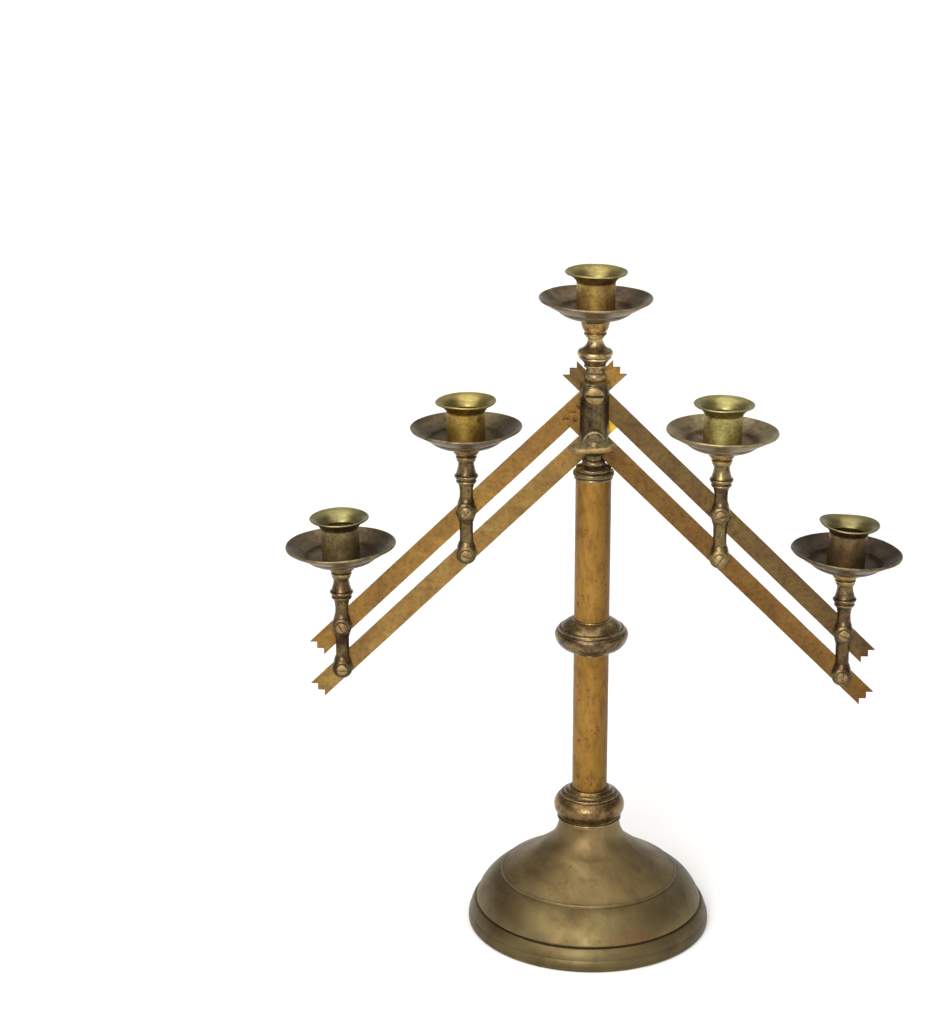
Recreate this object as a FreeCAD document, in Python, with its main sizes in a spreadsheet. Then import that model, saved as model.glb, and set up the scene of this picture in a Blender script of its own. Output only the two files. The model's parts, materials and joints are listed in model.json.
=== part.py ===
import FreeCAD, Part
import os
import re
import Sketcher

# Adjustable five-light altar candelabrum in brass, in millimetres.
# A round base carries a tube column with a turned knop half way up and a slotted hub on top.
# Two arms leave the hub, each a parallelogram of an upper and a lower flat bar, and each arm
# carries an inner and an outer stem, so the four stems stay upright while the arms are raised.
# A thumbscrew through the lower hub pivot clamps the arms. Each light is a socket, a drip pan
# and a candle cup. The frame: origin at the centre of the foot, +Z up, +X to the right, front -Y.

SIZES = {
    # base
    "pad_thickness": 1.6,
    "pad_inset": 3.6,
    "foot_radius": 82.3,
    "foot_level": 3.0,
    "lip_inset": 1.3,
    "lip_round": 0.3,
    "foot_top_radius": 78.2,
    "foot_top_level": 15.0,
    "groove_depth": 1.6,
    "groove_width": 1.4,
    "dome_radius": 77.3,
    "dome_bulge": 2.0,
    "step_radius": 59.2,
    "step_level": 35.9,
    "step_rise": 2.6,
    "step_inset": 1.2,
    "step_edge": 0.5,
    "skirt_sag": 0.85,
    "skirt_knee_radius": 30.9,
    "skirt_knee_level": 56.2,
    "base_neck_radius": 20.2,
    "neck_sag": 2.6,
    "base_height": 76.0,
    "base_wall": 2.2,
    # ballast, with the nut and washer of the tie rod in a recess under it
    "ballast_radius": 68.0,
    "ballast_edge": 9.0,
    "ballast_crown_radius": 46.0,
    "ballast_height": 28.0,
    "nut_recess_radius": 10.5,
    "nut_recess_height": 9.5,
    "washer_radius": 9.0,
    "washer_thickness": 1.5,
    "nut_across": 10.0,
    "nut_height": 5.0,
    "rod_radius": 3.0,
    "rod_clearance": 0.4,
    "rod_end_gap": 1.5,
    "rod_end_proud": 1.0,
    # column
    "tube_radius": 11.75,
    "tube_wall": 1.4,
    "crease_bevel": 0.9,
    "crease_rise": 0.3,
    "spigot_length": 10.0,
    "collar_height": 22.5,
    "collar_radius": 23.8,
    "collar_waist_radius": 20.4,
    "collar_belly_level": 10.8,
    "collar_crease_radius": 20.3,
    "collar_crease_level": 17.0,
    "collar_step_depth": 3.2,
    "collar_step_rise": 2.4,
    "collar_top_margin": 1.35,
    "collar_sag": 0.9,
    "lower_tube_length": 98.6,
    "upper_tube_length": 97.6,
    "knop_height": 23.8,
    "knop_radius": 24.3,
    "knop_belly_level": 11.2,
    "knop_foot_margin": 0.85,
    "knop_foot_sag": 4.2,
    "knop_step_radius": 22.4,
    "knop_step_level": 15.6,
    "knop_crease_radius": 19.8,
    "knop_crease_level": 18.0,
    "knop_top_margin": 0.65,
    # hub
    "hub_foot_margin": 0.65,
    "hub_collar_margin": 1.85,
    "hub_collar_level": 4.3,
    "hub_round": 1.0,
    "hub_crease_radius": 9.9,
    "hub_crease_level": 8.4,
    "hub_bead_radius": 8.0,
    "hub_bead_level": 11.4,
    "hub_neck_radius": 6.4,
    "hub_neck_level": 13.4,
    "hub_body_radius": 9.9,
    "hub_body_level": 19.0,
    "hub_boss_radius": 6.6,
    "hub_boss_rise": 0.7,
    "hub_slot_level": 4.9,
    "hub_slot_top": 20.4,
    "lower_pivot_level": 28.5,
    "pivot_spacing": 30.0,
    "hub_body_top": 6.8,
    "hub_ring_height": 0.9,
    "upper_bead_radius": 7.6,
    "upper_bead_level": 10.7,
    "upper_bead_height": 5.0,
    "upper_neck_radius": 6.5,
    "upper_knop_radius": 11.4,
    "upper_knop_level": 25.9,
    "upper_knop_edge": 2.3,
    "upper_knop_foot": 17.8,
    "top_neck_radius": 4.9,
    "top_neck_level": 35.3,
    "top_neck_height": 38.2,
    "top_seat_radius": 6.6,
    "seat_edge": 0.7,
    # arms
    "droop_angle": 44.5,
    "inner_link": 117.0,
    "outer_link": 117.0,
    "hub_tail": 23.0,
    "end_tail": 24.0,
    "bar_width": 13.0,
    "bar_thickness": 2.2,
    "layer_gap": 1.0,
    "side_gap": 0.3,
    "shim_thickness": 0.4,
    "shim_radius": 5.0,
    "running_clearance": 0.08,
    # branch stems
    "stem_radius": 4.55,
    "stem_swell": 6.3,
    "stem_boss_radius": 6.8,
    "stem_boss_length": 13.2,
    "stem_boss_reach": 8.4,
    "stem_foot_gap": 1.0,
    "stem_slot_top": 15.8,
    "stem_taper_level": 13.0,
    "stem_bead_radius": 7.7,
    "stem_bead_level": 23.6,
    "stem_bead_height": 1.4,
    "stem_neck_radius": 5.3,
    "stem_neck_level": 30.8,
    "stem_seat_radius": 6.6,
    "stem_height": 36.0,
    # screws
    "hub_screw_radius": 2.4,
    "hub_head_radius": 5.6,
    "hub_head_height": 2.2,
    "stem_screw_radius": 1.9,
    "stem_head_radius": 3.5,
    "stem_head_height": 1.5,
    "screw_slot_width": 1.0,
    "screw_slot_depth": 0.9,
    "clamp_washer_thickness": 1.0,
    "clamp_washer_radius": 6.4,
    "thumb_tip": 2.0,
    "thumb_collar_radius": 7.0,
    "thumb_collar_length": 2.6,
    "thumb_waist_radius": 2.2,
    "thumb_cone_length": 13.0,
    "wing_start": 3.0,
    "wing_length": 18.6,
    "wing_width": 31.6,
    "wing_thickness": 4.2,
    "wing_root_thickness": 7.0,
    # lights
    "stud_radius": 3.5,
    "stud_length": 4.0,
    "stud_gap": 0.3,
    "socket_edge": 0.5,
    "socket_band": 2.2,
    "top_socket_height": 11.4,
    "top_socket_radius": 9.3,
    "top_socket_foot": 7.4,
    "branch_socket_height": 8.3,
    "branch_socket_radius": 9.0,
    "branch_socket_foot": 6.9,
    "pan_radius": 36.8,
    "pan_height": 13.4,
    "pan_wall": 1.3,
    "pan_rim_height": 1.6,
    "pan_bead": 1.1,
    "pan_bend_radius": 24.6,
    "pan_bend_level": 4.6,
    "pan_sag": 4.0,
    "pan_seat_radius": 10.5,
    "cup_bore_radius": 11.4,
    "cup_wall": 1.3,
    "cup_floor": 1.6,
    "cup_height": 29.5,
    "cup_flare_radius": 20.4,
    "cup_flare_height": 7.0,
    "cup_lip": 0.9,
}

doc = FreeCAD.newDocument("Candelabrum")
sheet = doc.addObject("Spreadsheet::Sheet", "Sizes")
for row, (size_name, size) in enumerate(SIZES.items(), start=1):
    sheet.set(f"A{row}", size_name)
    sheet.set(f"B{row}", str(size))
    sheet.setAlias(f"B{row}", size_name)
doc.recompute()

nodes = []


def bind(text):
    """An expression in words of the sheet, such as "bar_width / 2", as FreeCAD reads it."""
    return re.sub(r"[a-z]+(?:_[a-z]+)+", r"Sizes.\g<0>", text)


def value(text):
    """What such an expression comes to now, in millimetres or degrees."""
    return float(sheet.evalExpression(bind(text)))


def new_body(node):
    body = doc.addObject("PartDesign::Body", node)
    body.Label = node
    nodes.append(body)
    return body


def place(body, x="0", y="0", z="0", axis=(0, 1, 0), turn=None):
    """Bind a body's place, and its turn about one axis, to the sheet."""
    if turn is not None:
        body.Placement = FreeCAD.Placement(
            FreeCAD.Vector(), FreeCAD.Rotation(FreeCAD.Vector(*axis), value(turn)))
        body.setExpression("Placement.Rotation.Angle", f"({bind(turn)}) * 1 deg")
    for letter, text in zip("xyz", (x, y, z)):
        body.setExpression(f"Placement.Base.{letter}", bind(text))


def new_sketch(body, plane="XZ_Plane"):
    sketch = body.newObject("Sketcher::SketchObject", body.Name + "_sketch")
    sketch.AttachmentSupport = [(datum, "") for datum in body.Origin.OriginFeatures if datum.Role == plane]
    sketch.MapMode = "FlatFace"
    return sketch


def pin(sketch, geometry, end, x, y, word):
    """Hold one point of a sketch at bound distances from the sketch's origin."""
    for kind, axis, text in (("DistanceX", -2, x), ("DistanceY", -1, y)):
        if text == "0":
            sketch.addConstraint(Sketcher.Constraint("PointOnObject", geometry, end, axis))
            continue
        number = sketch.addConstraint(Sketcher.Constraint(kind, -1, 1, geometry, end, value(text)))
        label = f"{word}_{kind[-1].lower()}"
        sketch.renameConstraint(number, label)
        sketch.setExpression(f"Constraints.{label}", bind(text))


def draw(sketch, steps, word="corner"):
    """A closed outline. A step is (x, y), a straight edge to that corner, or
    (x, y, mid_x, mid_y), an arc to that corner by way of the middle point."""
    corners = [FreeCAD.Vector(value(step[0]), value(step[1]), 0) for step in steps]
    ends = []
    for number, step in enumerate(steps):
        start, stop = corners[number - 1], corners[number]
        if len(step) == 2:
            edge = sketch.addGeometry(Part.LineSegment(start, stop))
        else:
            middle = FreeCAD.Vector(value(step[2]), value(step[3]), 0)
            edge = sketch.addGeometry(Part.Arc(start, middle, stop))
            point = sketch.addGeometry(Part.Point(middle), True)
            pin(sketch, point, 1, step[2], step[3], f"{word}_{number}_middle")
            sketch.addConstraint(Sketcher.Constraint("PointOnObject", point, 1, edge))
        forward = (sketch.getPoint(edge, 1) - start).Length < (sketch.getPoint(edge, 2) - start).Length
        ends.append((edge, 1, 2) if forward else (edge, 2, 1))
    for number, (edge, first, last) in enumerate(ends):
        following = ends[(number + 1) % len(ends)]
        sketch.addConstraint(Sketcher.Constraint("Coincident", edge, last, following[0], following[1]))
        pin(sketch, edge, last, steps[number][0], steps[number][1], f"{word}_{number}")


def circle(sketch, x, y, radius, word="hole"):
    ring = sketch.addGeometry(Part.Circle(
        FreeCAD.Vector(value(x), value(y), 0), FreeCAD.Vector(0, 0, 1), value(radius)))
    pin(sketch, ring, 3, x, y, word)
    number = sketch.addConstraint(Sketcher.Constraint("Radius", ring, value(radius)))
    sketch.renameConstraint(number, f"{word}_radius")
    sketch.setExpression(f"Constraints.{word}_radius", bind(radius))


def revolve(body, steps):
    sketch = new_sketch(body)
    draw(sketch, steps)
    turn = body.newObject("PartDesign::Revolution", body.Name + "_turned")
    turn.Profile = sketch
    turn.ReferenceAxis = (sketch, ["V_Axis"])
    turn.Angle = 360


def turned(node, steps, **where):
    """A turned piece: radii and levels of its outline, spun about its own upright axis."""
    body = new_body(node)
    revolve(body, steps)
    place(body, **where)
    return body


def pad(body, sketch, length):
    """Pad a sketch to both sides of its plane."""
    feature = body.newObject("PartDesign::Pad", body.Name + "_pad")
    feature.Profile = sketch
    feature.Midplane = True
    feature.Length = value(length)
    feature.setExpression("Length", bind(length))


def cut_through(body, sketch):
    """Pocket a sketch right through the body, to both sides of its plane."""
    feature = body.newObject("PartDesign::Pocket", body.Name + "_pocket")
    feature.Profile = sketch
    feature.Type = "ThroughAll"
    feature.Midplane = True


def rectangle(x_low, x_high, y_low, y_high):
    return [(x_low, y_low), (x_high, y_low), (x_high, y_high), (x_low, y_high)]


# Levels of the column, each standing on the piece below it.
COLLAR = "base_height"
LOWER_TUBE = f"{COLLAR} + collar_height"
KNOP = f"{LOWER_TUBE} + lower_tube_length"
UPPER_TUBE = f"{KNOP} + knop_height"
HUB = f"{UPPER_TUBE} + upper_tube_length"
LOWER_PIVOT = f"{HUB} + lower_pivot_level"
UPPER_PIVOT = f"{LOWER_PIVOT} + pivot_spacing"
ROD_HOLE = "rod_radius + rod_clearance"
TUBE_BORE = "tube_radius - tube_wall"
NUT_FOOT = "pad_thickness + nut_recess_height - washer_thickness - nut_height"

# What stands on a tube is a little wider than the tube.
COLLAR_TOP = "(tube_radius + collar_top_margin)"
KNOP_FOOT = "(tube_radius + knop_foot_margin)"
KNOP_TOP = "(tube_radius + knop_top_margin)"
HUB_FOOT = "(tube_radius + hub_foot_margin)"
HUB_COLLAR = "(tube_radius + hub_collar_margin)"

# The way points of the base's four curves, from the foot up to the neck.
FOOT_MIDDLE = ("foot_top_radius + (foot_radius - foot_top_radius) * 0.3", "foot_top_level * 0.6")
DOME_MIDDLE = ("(dome_radius + step_radius) / 2 + dome_bulge",
               "(foot_top_level + groove_width + step_level) / 2 + dome_bulge")
SKIRT_MIDDLE = ("(step_radius - step_inset + skirt_knee_radius) / 2 - skirt_sag",
                "(step_level + step_rise + step_edge + skirt_knee_level) / 2 - skirt_sag")
NECK_MIDDLE = ("(skirt_knee_radius + base_neck_radius) / 2 - neck_sag",
               "(skirt_knee_level + base_height) / 2 - neck_sag / 2")


def inside(x, y):
    """A point of the base shell's outside, moved in and down by its wall."""
    return f"{x} - base_wall", f"{y} - base_wall"


def make_base():
    turned("felt_pad", rectangle("0", "foot_radius - pad_inset", "0", "pad_thickness"))
    step_top = ("step_radius - step_inset", "step_level + step_rise + step_edge")
    knee = ("skirt_knee_radius", "skirt_knee_level")
    neck = ("base_neck_radius", "base_height")
    turned("base_shell", [
        ("foot_radius - lip_inset", "0"),
        ("foot_radius", "foot_level", "foot_radius - lip_round", "foot_level / 3"),
        ("foot_top_radius", "foot_top_level", *FOOT_MIDDLE),
        ("dome_radius - groove_depth", "foot_top_level + groove_width / 2"),
        ("dome_radius", "foot_top_level + groove_width"),
        ("step_radius", "step_level", *DOME_MIDDLE),
        ("step_radius - step_edge", "step_level + step_rise"),
        step_top,
        (*knee, *SKIRT_MIDDLE),
        (*neck, *NECK_MIDDLE),
        (ROD_HOLE, "base_height"),
        (ROD_HOLE, "base_height - base_wall"),
        inside(*neck),
        (*inside(*knee), *inside(*NECK_MIDDLE)),
        (*inside(*step_top), *inside(*SKIRT_MIDDLE)),
        ("dome_radius - groove_depth - base_wall", "foot_top_level", *inside(*DOME_MIDDLE)),
        ("foot_radius - base_wall", "foot_level", f"{FOOT_MIDDLE[0]} - base_wall", FOOT_MIDDLE[1]),
        ("foot_radius - lip_inset - base_wall", "0"),
    ])
    turned("base_ballast", [
        ("nut_recess_radius", "pad_thickness"),
        ("ballast_radius", "pad_thickness"),
        ("ballast_radius", "pad_thickness + ballast_edge"),
        ("ballast_crown_radius", "pad_thickness + ballast_height"),
        (ROD_HOLE, "pad_thickness + ballast_height"),
        (ROD_HOLE, "pad_thickness + nut_recess_height"),
        ("nut_recess_radius", "pad_thickness + nut_recess_height"),
    ])
    turned("tie_rod_washer", rectangle("rod_radius", "washer_radius", "0", "washer_thickness"),
           z="pad_thickness + nut_recess_height - washer_thickness")
    nut = new_body("tie_rod_nut")
    sketch = new_sketch(nut, "XY_Plane")
    hexagon = [(f"nut_across / 2 / cos(30) * cos({angle})", f"nut_across / 2 / cos(30) * sin({angle})")
               for angle in (30, 90, 150, 210, 270, 330)]
    hexagon[1] = ("0", hexagon[1][1])
    hexagon[4] = ("0", hexagon[4][1])
    draw(sketch, hexagon)
    circle(sketch, "0", "0", "rod_radius")
    pad(nut, sketch, "nut_height")
    place(nut, z=f"{NUT_FOOT} + nut_height / 2")
    turned("tie_rod", rectangle("0", "rod_radius",
                                f"{NUT_FOOT} - rod_end_proud", f"{HUB} + hub_slot_level - rod_end_gap"))


def make_column():
    spigot = [(ROD_HOLE, "0")]
    turned("base_collar", spigot + [
        ("collar_waist_radius", "0"),
        ("collar_crease_radius", "collar_crease_level", "collar_radius", "collar_belly_level"),
        ("collar_crease_radius - crease_bevel", "collar_crease_level + crease_rise"),
        ("collar_crease_radius - collar_step_depth", "collar_crease_level + collar_step_rise"),
        ("collar_crease_radius - collar_step_depth - crease_bevel", "collar_crease_level + collar_step_rise"),
        (COLLAR_TOP, "collar_height", f"{COLLAR_TOP} + collar_sag", "collar_height - 1.5 * collar_sag"),
        (TUBE_BORE, "collar_height"),
        (TUBE_BORE, "collar_height + spigot_length"),
        (ROD_HOLE, "collar_height + spigot_length"),
    ], z=COLLAR)
    for node, foot, length in (("lower_tube", LOWER_TUBE, "lower_tube_length"),
                               ("upper_tube", UPPER_TUBE, "upper_tube_length")):
        turned(node, rectangle(TUBE_BORE, "tube_radius", "0", length), z=foot)
    turned("mid_knop", [
        (ROD_HOLE, "-spigot_length"),
        (TUBE_BORE, "-spigot_length"),
        (TUBE_BORE, "0"),
        (KNOP_FOOT, "0"),
        ("knop_radius", "knop_belly_level", "knop_radius - knop_foot_sag", "knop_belly_level * 0.375"),
        ("knop_step_radius", "knop_step_level",
         "knop_radius - crease_rise", "(knop_belly_level + knop_step_level) / 2"),
        ("knop_step_radius - crease_bevel", "knop_step_level + crease_rise"),
        ("knop_crease_radius", "knop_crease_level"),
        (KNOP_TOP, "knop_height",
         f"(knop_crease_radius + {KNOP_TOP}) / 2 + crease_rise",
         "(knop_crease_level + knop_height) / 2 + crease_rise"),
        (TUBE_BORE, "knop_height"),
        (TUBE_BORE, "knop_height + spigot_length"),
        (ROD_HOLE, "knop_height + spigot_length"),
    ], z=KNOP)


def make_hub():
    """Turned hub with a slot from front to back wide enough for both arms' bars."""
    hub = new_body("hub_fork")
    pivot = "lower_pivot_level + pivot_spacing"
    revolve(hub, [
        ("0", "hub_slot_level - rod_end_gap"),
        ("rod_radius", "hub_slot_level - rod_end_gap"),
        ("rod_radius", "-spigot_length"),
        (TUBE_BORE, "-spigot_length"),
        (TUBE_BORE, "0"),
        (HUB_FOOT, "0"),
        (f"{HUB_FOOT} + hub_round / 2", "hub_collar_level - 1.6 * hub_round"),
        (HUB_COLLAR, "hub_collar_level", HUB_COLLAR, "hub_collar_level - hub_round"),
        (f"{HUB_COLLAR} - 1.2 * hub_round", "hub_collar_level + hub_round"),
        ("hub_crease_radius + crease_bevel", "hub_crease_level",
         f"({HUB_COLLAR} + hub_crease_radius) / 2 + crease_rise",
         "(hub_collar_level + hub_crease_level) / 2 + crease_bevel"),
        ("hub_crease_radius - crease_bevel", "hub_crease_level + crease_rise"),
        ("hub_bead_radius - hub_round / 2", "hub_crease_level + crease_bevel"),
        ("hub_neck_radius", "hub_neck_level", "hub_bead_radius", "hub_bead_level"),
        ("hub_body_radius", "hub_body_level", "hub_neck_radius + 0.5", "hub_body_level - 1.9"),
        ("hub_body_radius", f"{pivot} + hub_body_top"),
        ("hub_body_radius - crease_bevel", f"{pivot} + hub_body_top + hub_ring_height"),
        ("upper_bead_radius - crease_bevel", f"{pivot} + upper_bead_level - upper_bead_height / 2"),
        ("upper_bead_radius - crease_bevel", f"{pivot} + upper_bead_level + upper_bead_height / 2",
         "upper_bead_radius", f"{pivot} + upper_bead_level"),
        ("upper_neck_radius", f"{pivot} + upper_bead_level + upper_bead_height / 2 + crease_rise"),
        ("upper_neck_radius + crease_rise", f"{pivot} + upper_knop_foot"),
        ("upper_knop_radius - upper_knop_edge", f"{pivot} + upper_knop_level - 2 * upper_knop_edge"),
        ("upper_knop_radius - crease_bevel", f"{pivot} + upper_knop_level - upper_knop_edge"),
        ("upper_knop_radius - upper_knop_edge", f"{pivot} + upper_knop_level + upper_knop_edge",
         "upper_knop_radius", f"{pivot} + upper_knop_level"),
        ("top_neck_radius", f"{pivot} + top_neck_level",
         "top_neck_radius + hub_round", f"{pivot} + (upper_knop_level + top_neck_level) / 2 + 2 * hub_round"),
        ("top_seat_radius", f"{pivot} + top_neck_height - seat_edge"),
        ("top_seat_radius", f"{pivot} + top_neck_height"),
        ("stud_radius", f"{pivot} + top_neck_height"),
        ("stud_radius", f"{pivot} + top_neck_height + stud_length"),
        ("0", f"{pivot} + top_neck_height + stud_length"),
    ])
    bosses = new_sketch(hub)
    holes = new_sketch(hub)
    for level, clearance, word in (("lower_pivot_level", "running_clearance", "lower"), (pivot, "0", "upper")):
        circle(bosses, "0", level, "hub_boss_radius", word)
        circle(holes, "0", level, f"hub_screw_radius + {clearance}", word)
    pad(hub, bosses, "2 * (hub_body_radius + hub_boss_rise)")
    slot = new_sketch(hub, "YZ_Plane")
    half_slot = "(layer_gap / 2 + bar_thickness + side_gap)"
    draw(slot, rectangle(f"-{half_slot}", half_slot, "hub_slot_level", f"{pivot} + hub_slot_top"))
    cut_through(hub, slot)
    cut_through(hub, holes)
    place(hub, z=HUB)


def make_screw(node, shank_radius, shank_length, head_radius, head_height, slot_turn, **where):
    """A cheese-head screw whose head stands out to the front, with its slot turned about its axis."""
    screw = new_body(node)
    revolve(screw, [
        ("0", f"-({shank_length})"),
        (shank_radius, f"-({shank_length})"),
        (shank_radius, "0"),
        (head_radius, "0"),
        (head_radius, f"{head_height} * 0.55"),
        ("0", head_height, f"{head_radius} * 0.6", f"{head_height} * 0.86"),
    ])
    slot = new_sketch(screw)
    draw(slot, rectangle("-screw_slot_width / 2", "screw_slot_width / 2",
                         f"{head_height} - screw_slot_depth", f"{head_height} + screw_slot_depth"))
    cut_through(screw, slot)
    # The slot runs front to back in the screw's own frame; the screw lies on its side to face -Y.
    to_front = FreeCAD.Rotation(FreeCAD.Vector(1, 0, 0), 90)
    screw.Placement.Rotation = FreeCAD.Rotation(FreeCAD.Vector(0, 1, 0), slot_turn) * to_front
    place(screw, **where)
    return screw


def make_clamp():
    """Pivot screw, thumbscrew and the washers of the hub's two pivots."""
    face = "(hub_body_radius + hub_boss_rise)"
    make_screw("hub_pivot_screw", "hub_screw_radius", f"2 * {face}", "hub_head_radius", "hub_head_height",
               92, y=f"-{face}", z=UPPER_PIVOT)
    for node, level in (("hub_upper_shim", UPPER_PIVOT), ("hub_lower_shim", LOWER_PIVOT)):
        shim = new_body(node)
        sketch = new_sketch(shim)
        circle(sketch, "0", "0", "shim_radius", "rim")
        circle(sketch, "0", "0", "hub_screw_radius + running_clearance", "hole")
        pad(shim, sketch, "shim_thickness")
        place(shim, z=level)
    washer = new_body("clamp_washer")
    sketch = new_sketch(washer)
    circle(sketch, "0", "0", "clamp_washer_radius", "rim")
    circle(sketch, "0", "0", "hub_screw_radius + running_clearance", "hole")
    pad(washer, sketch, "clamp_washer_thickness")
    place(washer, y=f"-({face} + clamp_washer_thickness / 2 + side_gap)", z=LOWER_PIVOT)

    thumb = new_body("thumbscrew")
    seat = f"({face} + clamp_washer_thickness + 2 * side_gap)"
    revolve(thumb, [
        ("0", f"-({seat} + {face} + thumb_tip)"),
        ("hub_screw_radius", f"-({seat} + {face} + thumb_tip)"),
        ("hub_screw_radius", "0"),
        ("thumb_collar_radius", "0"),
        ("thumb_collar_radius", "thumb_collar_length"),
        ("thumb_waist_radius", "thumb_cone_length",
         "thumb_collar_radius * 0.62", "thumb_collar_length + thumb_cone_length * 0.25"),
        ("0", "thumb_cone_length"),
    ])
    wing = new_sketch(thumb)
    middle = "wing_start + wing_length * 0.5"
    draw(wing, [
        ("wing_width / 2", middle, "wing_width * 0.4", "wing_start + wing_length * 0.14"),
        ("0", "wing_start + wing_length", "wing_width * 0.37", "wing_start + wing_length * 0.89"),
        ("-wing_width / 2", middle, "-wing_width * 0.37", "wing_start + wing_length * 0.89"),
        ("0", "wing_start", "-wing_width * 0.4", "wing_start + wing_length * 0.14"),
    ])
    pad(thumb, wing, "wing_thickness")
    # The wing is cast thicker towards its root.
    root = new_sketch(thumb)
    draw(root, rectangle("-wing_width * 0.3", "wing_width * 0.3",
                         "wing_start", "wing_start + wing_length * 0.45"))
    pad(thumb, root, "wing_root_thickness")
    thumb.Placement.Rotation = FreeCAD.Rotation(FreeCAD.Vector(1, 0, 0), 90)
    place(thumb, y=f"-{seat}", z=LOWER_PIVOT)


def make_bar(node, level, side):
    """A flat bar with three saw teeth at each end and a hole for each pivot."""
    bar = new_body(node)
    sketch = new_sketch(bar)
    hub_end, far_end = "-hub_tail", "inner_link + outer_link + end_tail"
    half, quarter = "bar_width / 2", "bar_width / 4"
    draw(sketch, [
        (far_end, f"-{half}"),
        (f"{far_end} - {quarter}", f"-{quarter}"),
        (far_end, "0"),
        (f"{far_end} - {quarter}", quarter),
        (far_end, half),
        (hub_end, half),
        (f"{hub_end} + {quarter}", quarter),
        (hub_end, "0"),
        (f"{hub_end} + {quarter}", f"-{quarter}"),
        (hub_end, f"-{half}"),
    ])
    circle(sketch, "0", "0", "hub_screw_radius + running_clearance", "hub_hole")
    circle(sketch, "inner_link", "0", "stem_screw_radius + running_clearance", "inner_hole")
    circle(sketch, "inner_link + outer_link", "0", "stem_screw_radius + running_clearance", "outer_hole")
    pad(bar, sketch, "bar_thickness")
    turn = "droop_angle" if side == "right" else "180 - droop_angle"
    place(bar, y=layer(side), z=level, turn=turn)


def layer(side):
    """Middle of an arm's bars, front to back: the right arm lies in front of the left one."""
    sign = "-" if side == "right" else ""
    return f"{sign}(layer_gap + bar_thickness) / 2"


def make_stem(node, **where):
    """A branch stem: turned, with a boss round each screw, and slotted from below for the bars."""
    stem = new_body(node)
    revolve(stem, [
        ("0", "-pivot_spacing - stem_boss_radius"),
        ("stem_swell * 0.8", "-pivot_spacing - stem_boss_radius * 0.62",
         "stem_swell * 0.44", "-pivot_spacing - stem_boss_radius * 0.92"),
        ("stem_radius", "-pivot_spacing + stem_boss_reach", "stem_swell", "-pivot_spacing"),
        ("stem_radius", "-stem_boss_reach"),
        ("stem_radius", "stem_boss_reach", "stem_swell", "0"),
        ("stem_radius", "stem_taper_level"),
        ("stem_bead_radius - stem_bead_height", "stem_bead_level - 2 * stem_bead_height"),
        ("stem_bead_radius", "stem_bead_level - stem_bead_height / 2"),
        ("stem_bead_radius", "stem_bead_level + stem_bead_height / 2",
         "stem_bead_radius + crease_rise", "stem_bead_level"),
        ("stem_neck_radius", "stem_neck_level",
         "stem_neck_radius + seat_edge", "(stem_bead_level + stem_neck_level) / 2 + crease_rise"),
        ("stem_seat_radius", "stem_height - seat_edge",
         "stem_neck_radius + crease_rise", "(stem_neck_level + stem_height) / 2"),
        ("stem_seat_radius", "stem_height"),
        ("stud_radius", "stem_height"),
        ("stud_radius", "stem_height + stud_length"),
        ("0", "stem_height + stud_length"),
    ])
    bosses = new_sketch(stem)
    holes = new_sketch(stem)
    for level, word in (("0", "upper"), ("-pivot_spacing", "lower")):
        circle(bosses, "0", level, "stem_boss_radius", word)
        circle(holes, "0", level, "stem_screw_radius", word)
    pad(stem, bosses, "stem_boss_length")
    slot = new_sketch(stem, "YZ_Plane")
    half_slot = "(bar_thickness / 2 + side_gap)"
    foot = "-(pivot_spacing + stem_boss_radius + stem_foot_gap)"
    draw(slot, rectangle(f"-{half_slot}", half_slot, foot, "stem_slot_top"))
    cut_through(stem, slot)
    cut_through(stem, holes)
    place(stem, **where)


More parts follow.
